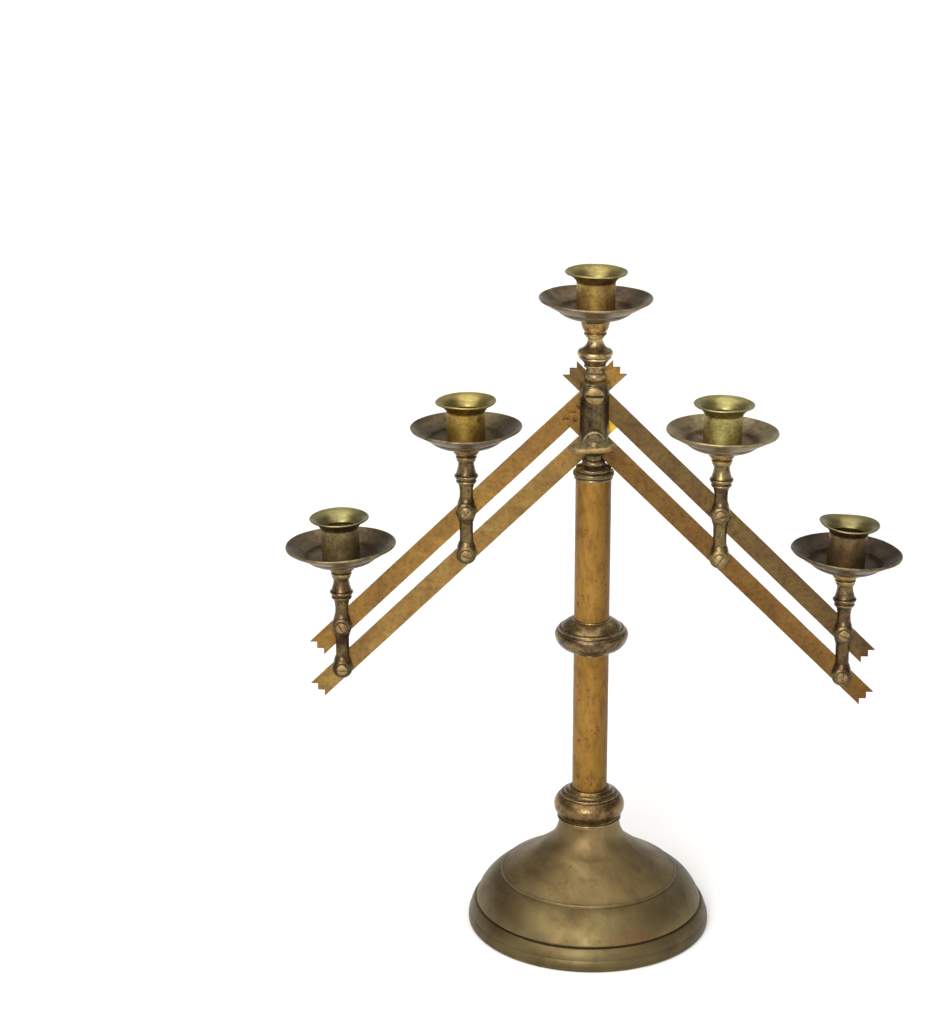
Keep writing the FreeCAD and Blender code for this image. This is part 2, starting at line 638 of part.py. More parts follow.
def make_light(prefix, kind, x, y, level):
    """Socket, drip pan and candle cup, standing on a stem whose seat is at that level."""
    height, head, foot = f"{kind}_socket_height", f"{kind}_socket_radius", f"{kind}_socket_foot"
    turned(f"{prefix}_socket", [
        ("stud_radius", "0"),
        (f"{foot} - socket_edge", "0"),
        (foot, "socket_edge"),
        (head, f"{height} - socket_band", f"({head} + {foot}) / 2 + socket_edge / 2", f"{height} * 0.42"),
        (head, height),
        ("stud_radius", height),
    ], x=x, y=y, z=level)

    rim = "(pan_height - pan_rim_height)"
    slope = f"(({rim} - pan_bend_level) / (pan_radius - pan_bead - pan_bend_radius))"
    lift = "(pan_wall * 1.15)"
    turned(f"{prefix}_drip_pan", [
        ("stud_radius", "0"),
        ("pan_seat_radius", "0"),
        ("pan_bend_radius", "pan_bend_level", "pan_bend_radius - pan_sag", "pan_bend_level * 0.28"),
        ("pan_radius - pan_bead", rim),
        ("pan_radius", f"{rim} + pan_bead / 2"),
        ("pan_radius - pan_bead / 4", "pan_height", "pan_radius", "pan_height - pan_bead / 3"),
        ("pan_radius - pan_bead", "pan_height"),
        ("pan_radius - 2 * pan_bead", f"{rim} + {lift} - pan_bead * {slope}"),
        ("pan_bend_radius", f"pan_bend_level + {lift}"),
        ("pan_seat_radius", "pan_wall",
         "pan_bend_radius - pan_sag - pan_bead", "pan_bend_level * 0.28 + pan_wall"),
        ("stud_radius", "pan_wall"),
    ], x=x, y=y, z=f"{level} + {height}")

    outer = "(cup_bore_radius + cup_wall)"
    flare = "(cup_height - cup_flare_height)"
    stud_foot = f"-(pan_wall + {height} - stud_length - stud_gap)"
    spread = f"(cup_flare_radius - {outer}) * 0.36"
    waist = f"{flare} + cup_flare_height * 0.46"
    turned(f"{prefix}_candle_cup", [
        ("0", stud_foot),
        ("stud_radius", stud_foot),
        ("stud_radius", "0"),
        (outer, "0"),
        (outer, flare),
        ("cup_flare_radius - cup_lip", "cup_height - 1.5 * cup_lip", f"{outer} + {spread}", waist),
        ("cup_flare_radius", "cup_height - cup_lip * 0.8"),
        ("cup_flare_radius - cup_lip", "cup_height",
         "cup_flare_radius - cup_lip / 4", "cup_height - cup_lip / 9"),
        ("cup_bore_radius", f"{flare} + cup_lip / 2", f"cup_bore_radius + {spread}", f"{waist} + cup_lip / 2"),
        ("cup_bore_radius", "cup_floor"),
        ("0", "cup_floor"),
    ], x=x, y=y, z=f"{level} + {height} + pan_wall")


# Branch: side, position, reach along the bars, and how far its two screws' slots are turned.
BRANCHES = (
    ("left", "inner", "inner_link", 45, 110),
    ("left", "outer", "(inner_link + outer_link)", 148, 92),
    ("right", "inner", "inner_link", 75, 40),
    ("right", "outer", "(inner_link + outer_link)", 112, 5),
)


def make_arms():
    for side in ("left", "right"):
        make_bar(f"{side}_upper_bar", UPPER_PIVOT, side)
        make_bar(f"{side}_lower_bar", LOWER_PIVOT, side)
    for side, position, reach, upper_turn, lower_turn in BRANCHES:
        prefix = f"{side}_{position}"
        sign = "-" if side == "left" else ""
        x = f"{sign}{reach} * cos(droop_angle)"
        level = f"{UPPER_PIVOT} - {reach} * sin(droop_angle)"
        make_stem(f"{prefix}_stem", x=x, y=layer(side), z=level)
        for word, turn, drop in (("upper", upper_turn, ""), ("lower", lower_turn, " - pivot_spacing")):
            make_screw(f"{prefix}_{word}_screw", "stem_screw_radius", "stem_boss_length",
                       "stem_head_radius", "stem_head_height", turn,
                       x=x, y=f"{layer(side)} - stem_boss_length / 2", z=level + drop)
        make_light(prefix, "branch", x, layer(side), f"{level} + stem_height")


make_base()
make_column()
make_hub()
make_clamp()
make_arms()
make_light("top", "top", "0", "0", f"{UPPER_PIVOT} + top_neck_height")
doc.recompute()

for thing in doc.Objects:
    if "Invalid" in thing.State or "Error" in thing.State:
        raise RuntimeError(f"{thing.Label} failed: {thing.State}")
for node in nodes:
    if node.Shape.isNull() or not node.Shape.isValid() or not node.Shape.Solids:
        raise RuntimeError(f"{node.Label} has no valid solid")

os.makedirs("parts", exist_ok=True)
for node in nodes:
    node.Shape.exportStep(f"parts/{node.Label}.step")
    print(f"{node.Label:28s} {node.Shape.Volume:12.1f}  solids {len(node.Shape.Solids)}")
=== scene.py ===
import bpy, bmesh, json, math
from mathutils import Matrix, Vector, noise
from mathutils.kdtree import KDTree


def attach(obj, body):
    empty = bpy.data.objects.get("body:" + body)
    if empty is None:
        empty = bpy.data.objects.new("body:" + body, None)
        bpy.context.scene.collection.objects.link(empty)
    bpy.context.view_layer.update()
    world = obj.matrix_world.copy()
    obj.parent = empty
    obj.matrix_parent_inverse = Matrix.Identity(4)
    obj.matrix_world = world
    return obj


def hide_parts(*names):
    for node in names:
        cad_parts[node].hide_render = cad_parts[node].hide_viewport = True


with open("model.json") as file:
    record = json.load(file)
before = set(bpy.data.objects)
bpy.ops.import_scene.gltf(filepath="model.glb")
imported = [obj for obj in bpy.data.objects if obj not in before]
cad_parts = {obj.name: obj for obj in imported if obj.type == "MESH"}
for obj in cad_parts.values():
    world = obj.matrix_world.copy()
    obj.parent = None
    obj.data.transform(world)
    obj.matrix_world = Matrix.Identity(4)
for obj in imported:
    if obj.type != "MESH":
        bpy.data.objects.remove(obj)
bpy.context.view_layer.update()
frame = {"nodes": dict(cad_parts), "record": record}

# Adjustable five-light altar candelabrum in aged brass. Outlines are in millimetres from the foot
# of each piece; MM turns them into the frame's metres.
MM = 0.001
DROOP = math.radians(44.5)        # how far the arms hang below level
LOWER_PIVOT = 347.0
UPPER_PIVOT = 377.0
PIVOT_SPACING = UPPER_PIVOT - LOWER_PIVOT
LINK = 117.0                      # from the hub's pivot to the inner stem, and on to the outer one
LAYER = 1.6                       # how far an arm's bars lie from the middle of the slot
BAR_HALF = 6.5
BAR_THICKNESS = 2.2
TUBE_RADIUS = 11.75
ROD_HOLE = 3.4                    # the bore for the tie rod
SPIGOT = 10.4                     # what goes down into, or up into, a tube
STUD = 3.5                        # the stud that carries a light
BASE_TOP = 76.0
LOWER_TUBE, UPPER_TUBE = (98.5, 98.6), (220.9, 97.6)    # level of the foot, length
KNOP_FOOT = 197.1
HUB_FOOT = 318.5
HUB_FACE = 10.6                   # from the middle of the hub to the face of a boss
HUB_TOP = 38.2                    # from the upper pivot to the top light
STEM_TOP = 36.0


def srgb(red, green, blue):
    """A colour given as it looks on a screen, 0 to 255, as the shader wants it."""
    return tuple(((c / 255 + 0.055) / 1.055) ** 2.4 for c in (red, green, blue)) + (1.0,)


# ---------------------------------------------------------------- outlines and meshes

SMOOTH_TURN = 0.3


def arc(start, middle, stop, count):
    """Points after start up to stop on the circle through three points."""
    (ax, ay), (bx, by), (cx, cy) = start, middle, stop
    d = 2 * (ax * (by - cy) + bx * (cy - ay) + cx * (ay - by))
    a_square, b_square, c_square = ax * ax + ay * ay, bx * bx + by * by, cx * cx + cy * cy
    ux = (a_square * (by - cy) + b_square * (cy - ay) + c_square * (ay - by)) / d
    uy = (a_square * (cx - bx) + b_square * (ax - cx) + c_square * (bx - ax)) / d
    a0, a1, a2 = (math.atan2(y - uy, x - ux) for x, y in (start, middle, stop))
    tau = 2 * math.pi
    sweep = (a2 - a0) % tau
    if (a1 - a0) % tau > sweep:
        sweep -= tau
    radius = math.hypot(ax - ux, ay - uy)
    angles = [a0 + sweep * i / count for i in range(1, count + 1)]
    return [(ux + radius * math.cos(angle), uy + radius * math.sin(angle)) for angle in angles]


def outline(steps, soft=0.25, count=12):
    """An outline from corners (r, z) and arcs (r, z, mid_r, mid_z), each arc of count points.
    Corners sharper than SMOOTH_TURN are rounded by soft."""
    points = [steps[0][:2]]
    for step in steps[1:]:
        if len(step) == 4:
            points += arc(points[-1], step[2:], step[:2], count)
        else:
            points.append(step)
    done = [points[0]]
    for before, here, after in zip(points, points[1:], points[2:]):
        b, h, a = Vector(before), Vector(here), Vector(after)
        inward, outward = h - b, a - h
        if inward.length < 1e-6 or outward.length < 1e-6 or inward.angle(outward) < SMOOTH_TURN:
            done.append(here)
            continue
        cut = min(soft, inward.length * 0.4, outward.length * 0.4)
        first, last = h - inward.normalized() * cut, h + outward.normalized() * cut
        done += [tuple(first), tuple(first * 0.25 + h * 0.5 + last * 0.25), tuple(last)]
    return done + [points[-1]]


def lathe(points, segments=128):
    """A closed turned solid about the Z axis. The outline starts and ends on the axis, or is a
    ring."""
    mesh = bmesh.new()
    rings = []
    for radius, level in points:
        if radius < 1e-6:
            rings.append([mesh.verts.new((0, 0, level))])
        else:
            rings.append([mesh.verts.new((radius * math.cos(2 * math.pi * i / segments),
                                          radius * math.sin(2 * math.pi * i / segments), level))
                          for i in range(segments)])
    on_axis = len(rings[0]) == 1
    pairs = list(zip(rings, rings[1:])) + ([] if on_axis else [(rings[-1], rings[0])])
    for low, high in pairs:
        for i in range(segments):
            j = (i + 1) % segments
            below = [low[i % len(low)], low[j % len(low)]]
            above = [high[j % len(high)], high[i % len(high)]]
            corners = list(dict.fromkeys(below + above))
            if len(corners) > 2:
                mesh.faces.new(corners)
    bmesh.ops.recalc_face_normals(mesh, faces=mesh.faces)
    return mesh


def curvature(mesh):
    """Mean curvature of each vertex, per millimetre, above 0 on an outer edge and below 0 in a
    crease."""
    mesh.verts.index_update()
    bend = [0.0] * len(mesh.verts)
    area = [1e-9] * len(mesh.verts)
    for edge in mesh.edges:
        turn = edge.calc_face_angle_signed(0.0) * edge.calc_length() / 4
        for vert in edge.verts:
            bend[vert.index] += turn
    for face in mesh.faces:
        share = face.calc_area() / len(face.verts)
        for vert in face.verts:
            area[vert.index] += share
    return [turn / around for turn, around in zip(bend, area)]


def finished(name, mesh, body, slot, nodes, edges=None, shift=(0, 0, 0), sharp=38, tone=None,
             shade=None, other=None):
    """Turn a bmesh in millimetres into a piece in metres, with its edges marked for the finish.
    Edges that turn by more than sharp degrees stay sharp. tone tints the slot's finish for this
    piece, shade(place) makes places lighter or darker, and other(place, normal) brings in the
    slot's second colour."""
    values = edges if edges is not None else curvature(mesh)
    mesh.normal_update()
    shades = [shade(v.co) if shade else 0.0 for v in mesh.verts]
    others = [other(v.co, v.normal) if other else 0.0 for v in mesh.verts]
    mesh.transform(Matrix.Translation(Vector(shift)))
    mesh.transform(Matrix.Scale(MM, 4))
    data = bpy.data.meshes.new(name)
    limit = math.radians(sharp)
    for face in mesh.faces:
        face.smooth = True
    for edge in mesh.edges:
        edge.smooth = edge.calc_face_angle(0.0) < limit
    mesh.to_mesh(data)
    mesh.free()
    for word, numbers in (("bend", values), ("shade", shades), ("other", others)):
        layer = data.attributes.new(word, "FLOAT", "POINT")
        layer.data.foreach_set("value", numbers)
    piece = bpy.data.objects.new(name, data)
    bpy.context.collection.objects.link(piece)
    data.materials.append(finish(slot, tone))
    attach(piece, body)
    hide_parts(*nodes)
    return piece


def as_object(mesh, name="tool"):
    """A plain object from a bmesh, for a cut or for the floor."""
    data = bpy.data.meshes.new(name)
    mesh.to_mesh(data)
    mesh.free()
    thing = bpy.data.objects.new(name, data)
    bpy.context.collection.objects.link(thing)
    return thing


SAME_PLACE = 0.02


def carved(base, *steps, cut=0.0):
    """Join or cut meshes exactly: steps are ("UNION" or "DIFFERENCE", mesh). Curvature comes from
    the meshes before they meet, so that wear with a painted highlight on edges, and grime with
    painted shade in creases, follow the turned edges; cut is its value inside a cut."""
    known = []
    for mesh in [base] + [m for word, m in steps if word == "UNION"]:
        known += list(zip([v.co.copy() for v in mesh.verts], curvature(mesh)))
    thing = as_object(base, "carved")
    for word, mesh in steps:
        tool = as_object(mesh)
        modifier = thing.modifiers.new(word, "BOOLEAN")
        modifier.operation = word
        modifier.solver = "EXACT"
        modifier.object = tool
        graph = bpy.context.evaluated_depsgraph_get()
        result = bpy.data.meshes.new_from_object(thing.evaluated_get(graph))
        thing.modifiers.clear()
        thing.data = result
        bpy.data.objects.remove(tool)
    mesh = bmesh.new()
    mesh.from_mesh(thing.data)
    bpy.data.objects.remove(thing)
    tree = KDTree(len(known))
    for number, (place, bend) in enumerate(known):
        tree.insert(place, number)
    tree.balance()
    values = []
    for vert in mesh.verts:
        place, number, distance = tree.find(vert.co)
        values.append(known[number][1] if distance < SAME_PLACE else cut)
    return mesh, values


def block(low, high):
    """A box between two opposite corners."""
    mesh = bmesh.new()
    bmesh.ops.create_cube(mesh, size=1)
    middle = [(a + b) / 2 for a, b in zip(low, high)]
    size = [b - a for a, b in zip(low, high)]
    mesh.transform(Matrix.Translation(middle) @ Matrix.Diagonal(size + [1]))
    return mesh


def to_front(mesh, depth, level, turn=0.0, x=0.0):
    """Lay a mesh turned about +Z on its side, its top towards the front (-Y)."""
    mesh.transform(Matrix.Translation((x, depth, level)) @ Matrix.Rotation(turn, 4, "Y")
                   @ Matrix.Rotation(math.pi / 2, 4, "X"))
    return mesh


def dented(mesh, seed, size, wave=22.0, above=-100.0):
    """Small uneven hollows of handling, the same each run, that set in over 6 mm above a level."""
    mesh.normal_update()
    moves = [v.normal * size * min(1.0, max(0.0, (v.co.z - above) / 6))
             * noise.noise(v.co / wave + Vector((seed, seed * 0.7, 3.1))) for v in mesh.verts]
    for vert, move in zip(mesh.verts, moves):
        vert.co += move
    return mesh


# ---------------------------------------------------------------- finishes

def shader(name):
    material = bpy.data.materials.new(name)
    material.use_nodes = True
    tree = material.node_tree
    return material, tree, tree.nodes["Principled BSDF"]


def link(tree, source, target):
    tree.links.new(source, target)


def noise_of(tree, scale, detail=5.0, rough=0.6, distort=0.0, stretch=(1, 1, 1)):
    """A noise that is fixed to the piece, scale to the metre."""
    place = tree.nodes.new("ShaderNodeTexCoord")
    mapping = tree.nodes.new("ShaderNodeMapping")
    mapping.inputs["Scale"].default_value = stretch
    link(tree, place.outputs["Object"], mapping.inputs["Vector"])
    node = tree.nodes.new("ShaderNodeTexNoise")
    node.inputs["Scale"].default_value = scale
    node.inputs["Detail"].default_value = detail
    node.inputs["Roughness"].default_value = rough
    node.inputs["Distortion"].default_value = distort
    link(tree, mapping.outputs["Vector"], node.inputs["Vector"])
    return node.outputs["Fac"]


def ramp(tree, source, stops):
    """A colour ramp over (place, colour or grey value) stops."""
    node = tree.nodes.new("ShaderNodeValToRGB")
    link(tree, source, node.inputs["Fac"])
    cells = node.color_ramp.elements
    while len(cells) < len(stops):
        cells.new(0.5)
    for cell, (place, colour) in zip(cells, stops):
        cell.position = place
        cell.color = colour if isinstance(colour, tuple) else (colour, colour, colour, 1)
    return node.outputs["Color"]


def mixed(tree, factor, first, second, kind="MIX"):
    """A mix of two colours, each of the three inputs a socket or a plain value."""
    node = tree.nodes.new("ShaderNodeMix")
    node.data_type = "RGBA"
    node.blend_type = kind
    for source, number in ((factor, 0), (first, 6), (second, 7)):    # the colour inputs are 6 and 7
        if hasattr(source, "is_linked"):
            link(tree, source, node.inputs[number])
        else:
            node.inputs[number].default_value = source
    return node.outputs[2]


def reach(tree, source, low, high, out_low=0.0, out_high=1.0):
    """The range low to high of a source, brought to out_low to out_high and clamped there."""
    node = tree.nodes.new("ShaderNodeMapRange")
    for number, amount in enumerate((low, high, out_low, out_high), start=1):
        node.inputs[number].default_value = amount
    link(tree, source, node.inputs[0])
    return node.outputs["Result"]


def attribute(tree, name):
    """What finished() wrote on each vertex under this name."""
    node = tree.nodes.new("ShaderNodeAttribute")
    node.attribute_name = name
    return node.outputs["Fac"]


def bumped(tree, surface, height, strength, depth):
    """Fine relief, depth in metres."""
    node = tree.nodes.new("ShaderNodeBump")
    node.inputs["Strength"].default_value = strength
    node.inputs["Distance"].default_value = depth
    link(tree, height, node.inputs["Height"])
    link(tree, node.outputs["Normal"], surface.inputs["Normal"])


def metal(name, dark, middle, light, worn_and_highlight, grime_and_shade, pits=0.0, pit_colour=None, roughness=(0.32, 0.5),
          scale=55.0, stretch=(1, 1, 1), bump=0.25, lines=0.0, edge_wear_and_highlight=0.8, metallic=0.9,
          extra=None, speckle=1.0):
    """Aged brass: a patina in three tones, wear and a painted highlight on rubbed edges, grime and
    painted shade in the creases, pits, fine turning lines, and extra as a second colour where
    "other" asks for it."""
    material, tree, surface = shader(name)
    broad = noise_of(tree, scale, 6.0, 0.62, 0.6, stretch)
    fine = noise_of(tree, scale * 7, 5.0, 0.6, 0.3, stretch)
    grain = noise_of(tree, 2600.0, 3.0, 0.6)
    colour = ramp(tree, broad, ((0.34, dark), (0.5, middle), (0.66, light)))
    specks = ramp(tree, fine, ((0.3, srgb(150, 146, 140)), (0.5, srgb(235, 233, 230)),
                               (0.72, srgb(255, 255, 255))))
    colour = mixed(tree, speckle, colour, specks, "MULTIPLY")
    # Wear and a painted highlight on convex edges and beads: lighter where the curvature is high.
    edges = attribute(tree, "bend")
    rubbed_and_highlight = reach(tree, edges, 0.1, 0.9)
    handled = noise_of(tree, 150.0, 4.0, 0.6, 0.5)
    where = ramp(tree, handled, ((0.38, 0.05), (0.66, edge_wear_and_highlight)))
    rubbed_and_highlight = mixed(tree, 1.0, rubbed_and_highlight, where, "MULTIPLY")
    colour = mixed(tree, rubbed_and_highlight, colour, worn_and_highlight)
    # Grime and painted shade in creases: darker where the curvature is below 0.
    crease_dirt_and_shade = reach(tree, edges, -0.03, -0.6)
    crease_dirt_and_shade = mixed(tree, 1.0, crease_dirt_and_shade, ramp(tree, broad, ((0.2, 1.0), (0.8, 0.6))), "MULTIPLY")
    colour = mixed(tree, crease_dirt_and_shade, colour, grime_and_shade)
    # Each piece's shade() makes it lighter or darker: painted light and shade on most pieces,
    # random tone on the bars.
    shade = reach(tree, attribute(tree, "shade"), -1.0, 1.0, 0.0, 2.0)
    colour = mixed(tree, 1.0, colour, shade, "MULTIPLY")
    if extra is not None:
        colour = mixed(tree, attribute(tree, "other"), colour, extra)
    rough = ramp(tree, fine, ((0.3, roughness[1]), (0.7, roughness[0])))
    if pits:
        spread = noise_of(tree, 330.0, 3.0, 0.7, 0.4)
        patch = noise_of(tree, 34.0, 3.0, 0.5)
        single = ramp(tree, spread, ((0.63 - pits * 0.09, 0.0), (0.69 - pits * 0.08, 1.0)))
        grouped = ramp(tree, patch, ((0.42, 0.12), (0.62, 1.0)))
        gate = mixed(tree, 1.0, single, grouped, "MULTIPLY")
        colour = mixed(tree, gate, colour, pit_colour)
        rough = mixed(tree, gate, rough, (0.75, 0.75, 0.75, 1))
        link(tree, reach(tree, gate, 0.0, 1.0, metallic, 0.25), surface.inputs["Metallic"])
    else:
        surface.inputs["Metallic"].default_value = metallic
    link(tree, colour, surface.inputs["Base Color"])
    link(tree, rough, surface.inputs["Roughness"])
    height = mixed(tree, 0.55, fine, grain)
    if lines:
        turning = noise_of(tree, 1.0, 2.0, 0.5, 0.0, (20, 20, 2400))
        height = mixed(tree, lines, height, turning)
    if pits:
        height = mixed(tree, gate, height, (0, 0, 0, 1))
    bumped(tree, surface, height, bump, 0.00012)
    return material


# Each slot's finish: the colours of metal(), and what makes it smoother, finer or more worn. The
# edge colour is wear and a painted highlight, and the crease colour grime and painted shade.
FINISHES = {
    "base_brass": dict(
        dark=srgb(112, 90, 58), middle=srgb(142, 121, 81), light=srgb(156, 138, 94),
        worn_and_highlight=srgb(190, 168, 114), grime_and_shade=srgb(60, 46, 30), extra=srgb(122, 78, 50), pits=0.1,
        pit_colour=srgb(92, 66, 46), roughness=(0.43, 0.52), scale=13.0, bump=0.1, lines=0.5,
        edge_wear_and_highlight=0.4, speckle=0.4),
    "tube_brass": dict(
        dark=srgb(160, 118, 54), middle=srgb(182, 136, 64), light=srgb(192, 146, 74),
        worn_and_highlight=srgb(190, 150, 86), grime_and_shade=srgb(110, 72, 34), pits=0.55, pit_colour=srgb(96, 52, 26),
        roughness=(0.4, 0.52), scale=40.0, stretch=(1, 1, 0.35), bump=0.18, speckle=0.6),
    "turned_bronze": dict(
        dark=srgb(72, 54, 42), middle=srgb(115, 96, 67), light=srgb(148, 127, 82),
        worn_and_highlight=srgb(204, 182, 122), grime_and_shade=srgb(42, 32, 28), roughness=(0.24, 0.38), scale=70.0,
        bump=0.3, lines=0.25, edge_wear_and_highlight=0.5),
    "bar_brass": dict(
        dark=srgb(134, 98, 52), middle=srgb(152, 112, 56), light=srgb(164, 126, 62),
        worn_and_highlight=srgb(112, 88, 60), grime_and_shade=srgb(70, 48, 30), extra=srgb(250, 204, 60), pits=0.35,
        pit_colour=srgb(96, 62, 36), roughness=(0.4, 0.56), scale=48.0, bump=0.3, edge_wear_and_highlight=0.8,
        speckle=0.6),
    # extra is the darker brown of the pans' undersides: painted shade.
    "pan_bronze": dict(
        dark=srgb(88, 70, 58), middle=srgb(118, 102, 78), light=srgb(134, 118, 92),
        worn_and_highlight=srgb(206, 178, 128), grime_and_shade=srgb(62, 48, 36), extra=srgb(100, 82, 48),
        roughness=(0.34, 0.46), scale=42.0, bump=0.22, lines=0.35, edge_wear_and_highlight=0.55, speckle=0.7),
    "cup_brass": dict(
        dark=srgb(138, 106, 60), middle=srgb(172, 142, 72), light=srgb(192, 166, 90),
        worn_and_highlight=srgb(210, 190, 130), grime_and_shade=srgb(70, 50, 34), extra=srgb(150, 146, 94), pits=0.2,
        pit_colour=srgb(92, 66, 36), roughness=(0.3, 0.42), scale=75.0, bump=0.3, lines=0.2,
        edge_wear_and_highlight=0.5, speckle=0.8),
    # The screws' crease colour, nearly black, is painted shadow in their sawn slots as well as
    # grime.
    "screw_brass": dict(
        dark=srgb(104, 86, 58), middle=srgb(140, 120, 84), light=srgb(168, 146, 100),
        worn_and_highlight=srgb(214, 190, 140), grime_and_shade=srgb(22, 16, 12), roughness=(0.3, 0.42), scale=160.0,
        bump=0.25, edge_wear_and_highlight=0.7),
    "thumb_brass": dict(
        dark=srgb(92, 78, 56), middle=srgb(142, 126, 92), light=srgb(174, 158, 118),
        worn_and_highlight=srgb(168, 142, 98), grime_and_shade=srgb(70, 44, 34), extra=srgb(138, 102, 60), pits=0.6,
        pit_colour=srgb(84, 54, 38), roughness=(0.45, 0.6), scale=330.0, bump=0.9, edge_wear_and_highlight=0.9),
    "rod_steel": dict(
        dark=srgb(128, 126, 122), middle=srgb(168, 166, 160), light=srgb(190, 188, 184),
        worn_and_highlight=srgb(215, 215, 212), grime_and_shade=srgb(80, 74, 66), roughness=(0.3, 0.4), scale=90.0,
        bump=0.15, lines=0.5),
    "ballast_iron": dict(
        dark=srgb(52, 46, 42), middle=srgb(70, 62, 56), light=srgb(84, 74, 66),
        worn_and_highlight=srgb(100, 92, 84), grime_and_shade=srgb(60, 36, 24), roughness=(0.6, 0.75), scale=60.0,
        bump=0.8, metallic=0.6),
}


def felt():
    """Short green baize: a soft nap over a fine speckle."""
    material, tree, surface = shader("felt")
    nap = noise_of(tree, 900.0, 8.0, 0.75, 0.8)
    colour = ramp(tree, nap, ((0.3, srgb(24, 50, 30)), (0.6, srgb(52, 92, 58)),
                              (0.8, srgb(92, 128, 92))))
    link(tree, colour, surface.inputs["Base Color"])
    surface.inputs["Roughness"].default_value = 0.95
    surface.inputs["Sheen Weight"].default_value = 0.5
    bumped(tree, surface, nap, 0.7, 0.0004)
    return material


MADE = {"felt": felt()}


def finish(slot, tone=None):
    """The finish of a slot, made once, or the same finish tinted for one piece."""
    word = slot if tone is None else f"{slot} {tone}"
    if word not in MADE:
        recipe = dict(FINISHES[slot])
        for part in ("dark", "middle", "light", "pit_colour"):
            if tone and recipe.get(part):
                recipe[part] = tuple(min(0.95, c * t) for c, t in zip(recipe[part], tone)) + (1.0,)
        MADE[word] = metal(slot if tone is None else f"{slot}_{len(MADE)}", **recipe)
    return MADE[word]


# The tint of each piece: red, green and blue of its finish against the plain finish of its slot. It
# holds both how the piece has aged and a correction for how light falls on it in the main view.
TONES = {
    "base": (0.78, 0.8, 0.78), "collar": (1.05, 0.98, 0.9), "tube": (0.6, 0.6, 0.56),
    "knop": (1.0, 1.0, 1.0), "hub": (0.98, 1.02, 1.08), "screw": (1.25, 1.2, 1.1),
    "wing": (1.55, 1.8, 1.85), "socket": (1.5, 1.3, 1.0), "left_upper_bar": (0.85, 0.9, 0.95),
    "left_lower_bar": (0.85, 0.96, 1.15), "right_upper_bar": (0.42, 0.49, 0.75),
    "right_lower_bar": (0.58, 0.58, 0.66), "top_pan": (1.0, 1.0, 0.98),
    "left_inner_pan": (0.84, 0.86, 0.82), "left_outer_pan": (0.8, 0.82, 0.78),
    "right_inner_pan": (1.75, 1.9, 1.75), "right_outer_pan": (0.44, 0.42, 0.45),
    "top_cup": (0.95, 0.98, 1.15), "left_inner_cup": (1.05, 1.05, 0.95),
    "left_outer_cup": (0.58, 0.68, 1.2), "right_inner_cup": (1.0, 1.3, 1.9),
    "right_outer_cup": (0.48, 0.48, 0.9), "left_inner_stem": (0.68, 0.68, 0.68),
    "left_outer_stem": (0.68, 0.64, 0.62), "right_inner_stem": (0.76, 0.78, 0.78),
    "right_outer_stem": (0.54, 0.52, 0.55),
}


def facing_room(place):
    """1 towards the room, a little left of the front, and below 0 on the back."""
    around = math.hypot(place.x, place.y)
    return (-0.45 * place.x - 0.9 * place.y) / around if around > 1e-6 else 0.0


def room_side(place):
    """Lighter in front and darker round the sides and the back. It makes up for soft studio light
    and is no patina, and it stays with the piece in every view."""
    return 0.12 - 0.5 * (1 - max(0.0, facing_room(place)))


# ---------------------------------------------------------------- base and column

base = dented(lathe(outline([
    (78.6, 0.2), (81.2, 0.0), (82.2, 2.6, 81.95, 0.8), (81.2, 8.0, 82.05, 5.4),
    (78.2, 15.0, 80.0, 12.0), (76.2, 15.2), (75.6, 15.9), (77.0, 16.5), (59.9, 35.5, 70.25, 27.9),
    (59.7, 36.5), (58.4, 37.8, 59.3, 37.4), (57.0, 38.5), (30.9, 56.2, 43.5, 46.9),
    (20.6, 75.2, 23.1, 64.6), (20.0, BASE_TOP), (ROD_HOLE, BASE_TOP), (ROD_HOLE, 73.8),
    (18.0, 73.8), (28.7, 54.0, 20.8, 62.6), (55.8, 36.9, 41.6, 44.8), (73.5, 15.0, 68.05, 25.7),
    (80.1, 3.0, 77.2, 9.0),
], soft=0.3, count=28), 224), 1.0, 0.22, 30.0, 6.0)


def base_shade(place):
    """Darker below the groove round the dome and darkest on the foot band. It makes up for light
    that soft lamps spread too evenly, and is no patina."""
    groove, step, band_top = 58.5, 77.5, 15.8
    radius = math.hypot(place.x, place.y)
    if radius < groove:
        own = 0.0
    else:
        own = -0.3 if groove < radius < step and place.z > band_top else -0.46
    return own + 0.1 * (facing_room(place) - 0.6)


def base_reddening(place, normal):
    """A faint copper-red patch low on the front, right of the middle."""
    if place.y >= 0:
        return 0.0
    return 0.4 * math.exp(-((place.x - 30) / 15) ** 2 - ((place.z - 19.5) / 5) ** 2)


finished("base_dome", base, "root", "base_brass", ["base_shell"], tone=TONES["base"],
         shade=base_shade, other=base_reddening)

finished("column_collar", dented(lathe(outline([
    (ROD_HOLE, 0.0), (20.9, 0.0), (21.6, 0.7, 21.5, 0.2), (21.2, 1.5, 21.6, 1.1), (20.6, 1.9),
    (20.9, 3.2), (20.6, 16.6, 23.8, 10.4), (19.7, 17.0), (19.3, 17.6), (18.9, 18.4, 19.4, 18.0),
    (17.2, 19.0), (16.6, 19.6), (16.4, 20.2), (13.6, 22.3, 14.6, 21.1), (13.2, 22.5),
    (SPIGOT, 22.5), (SPIGOT, 32.0), (ROD_HOLE, 32.0),
], soft=0.25), 144), 4.0, 0.1), "root", "turned_bronze", ["base_collar"], shift=(0, 0, BASE_TOP),
    tone=TONES["collar"])

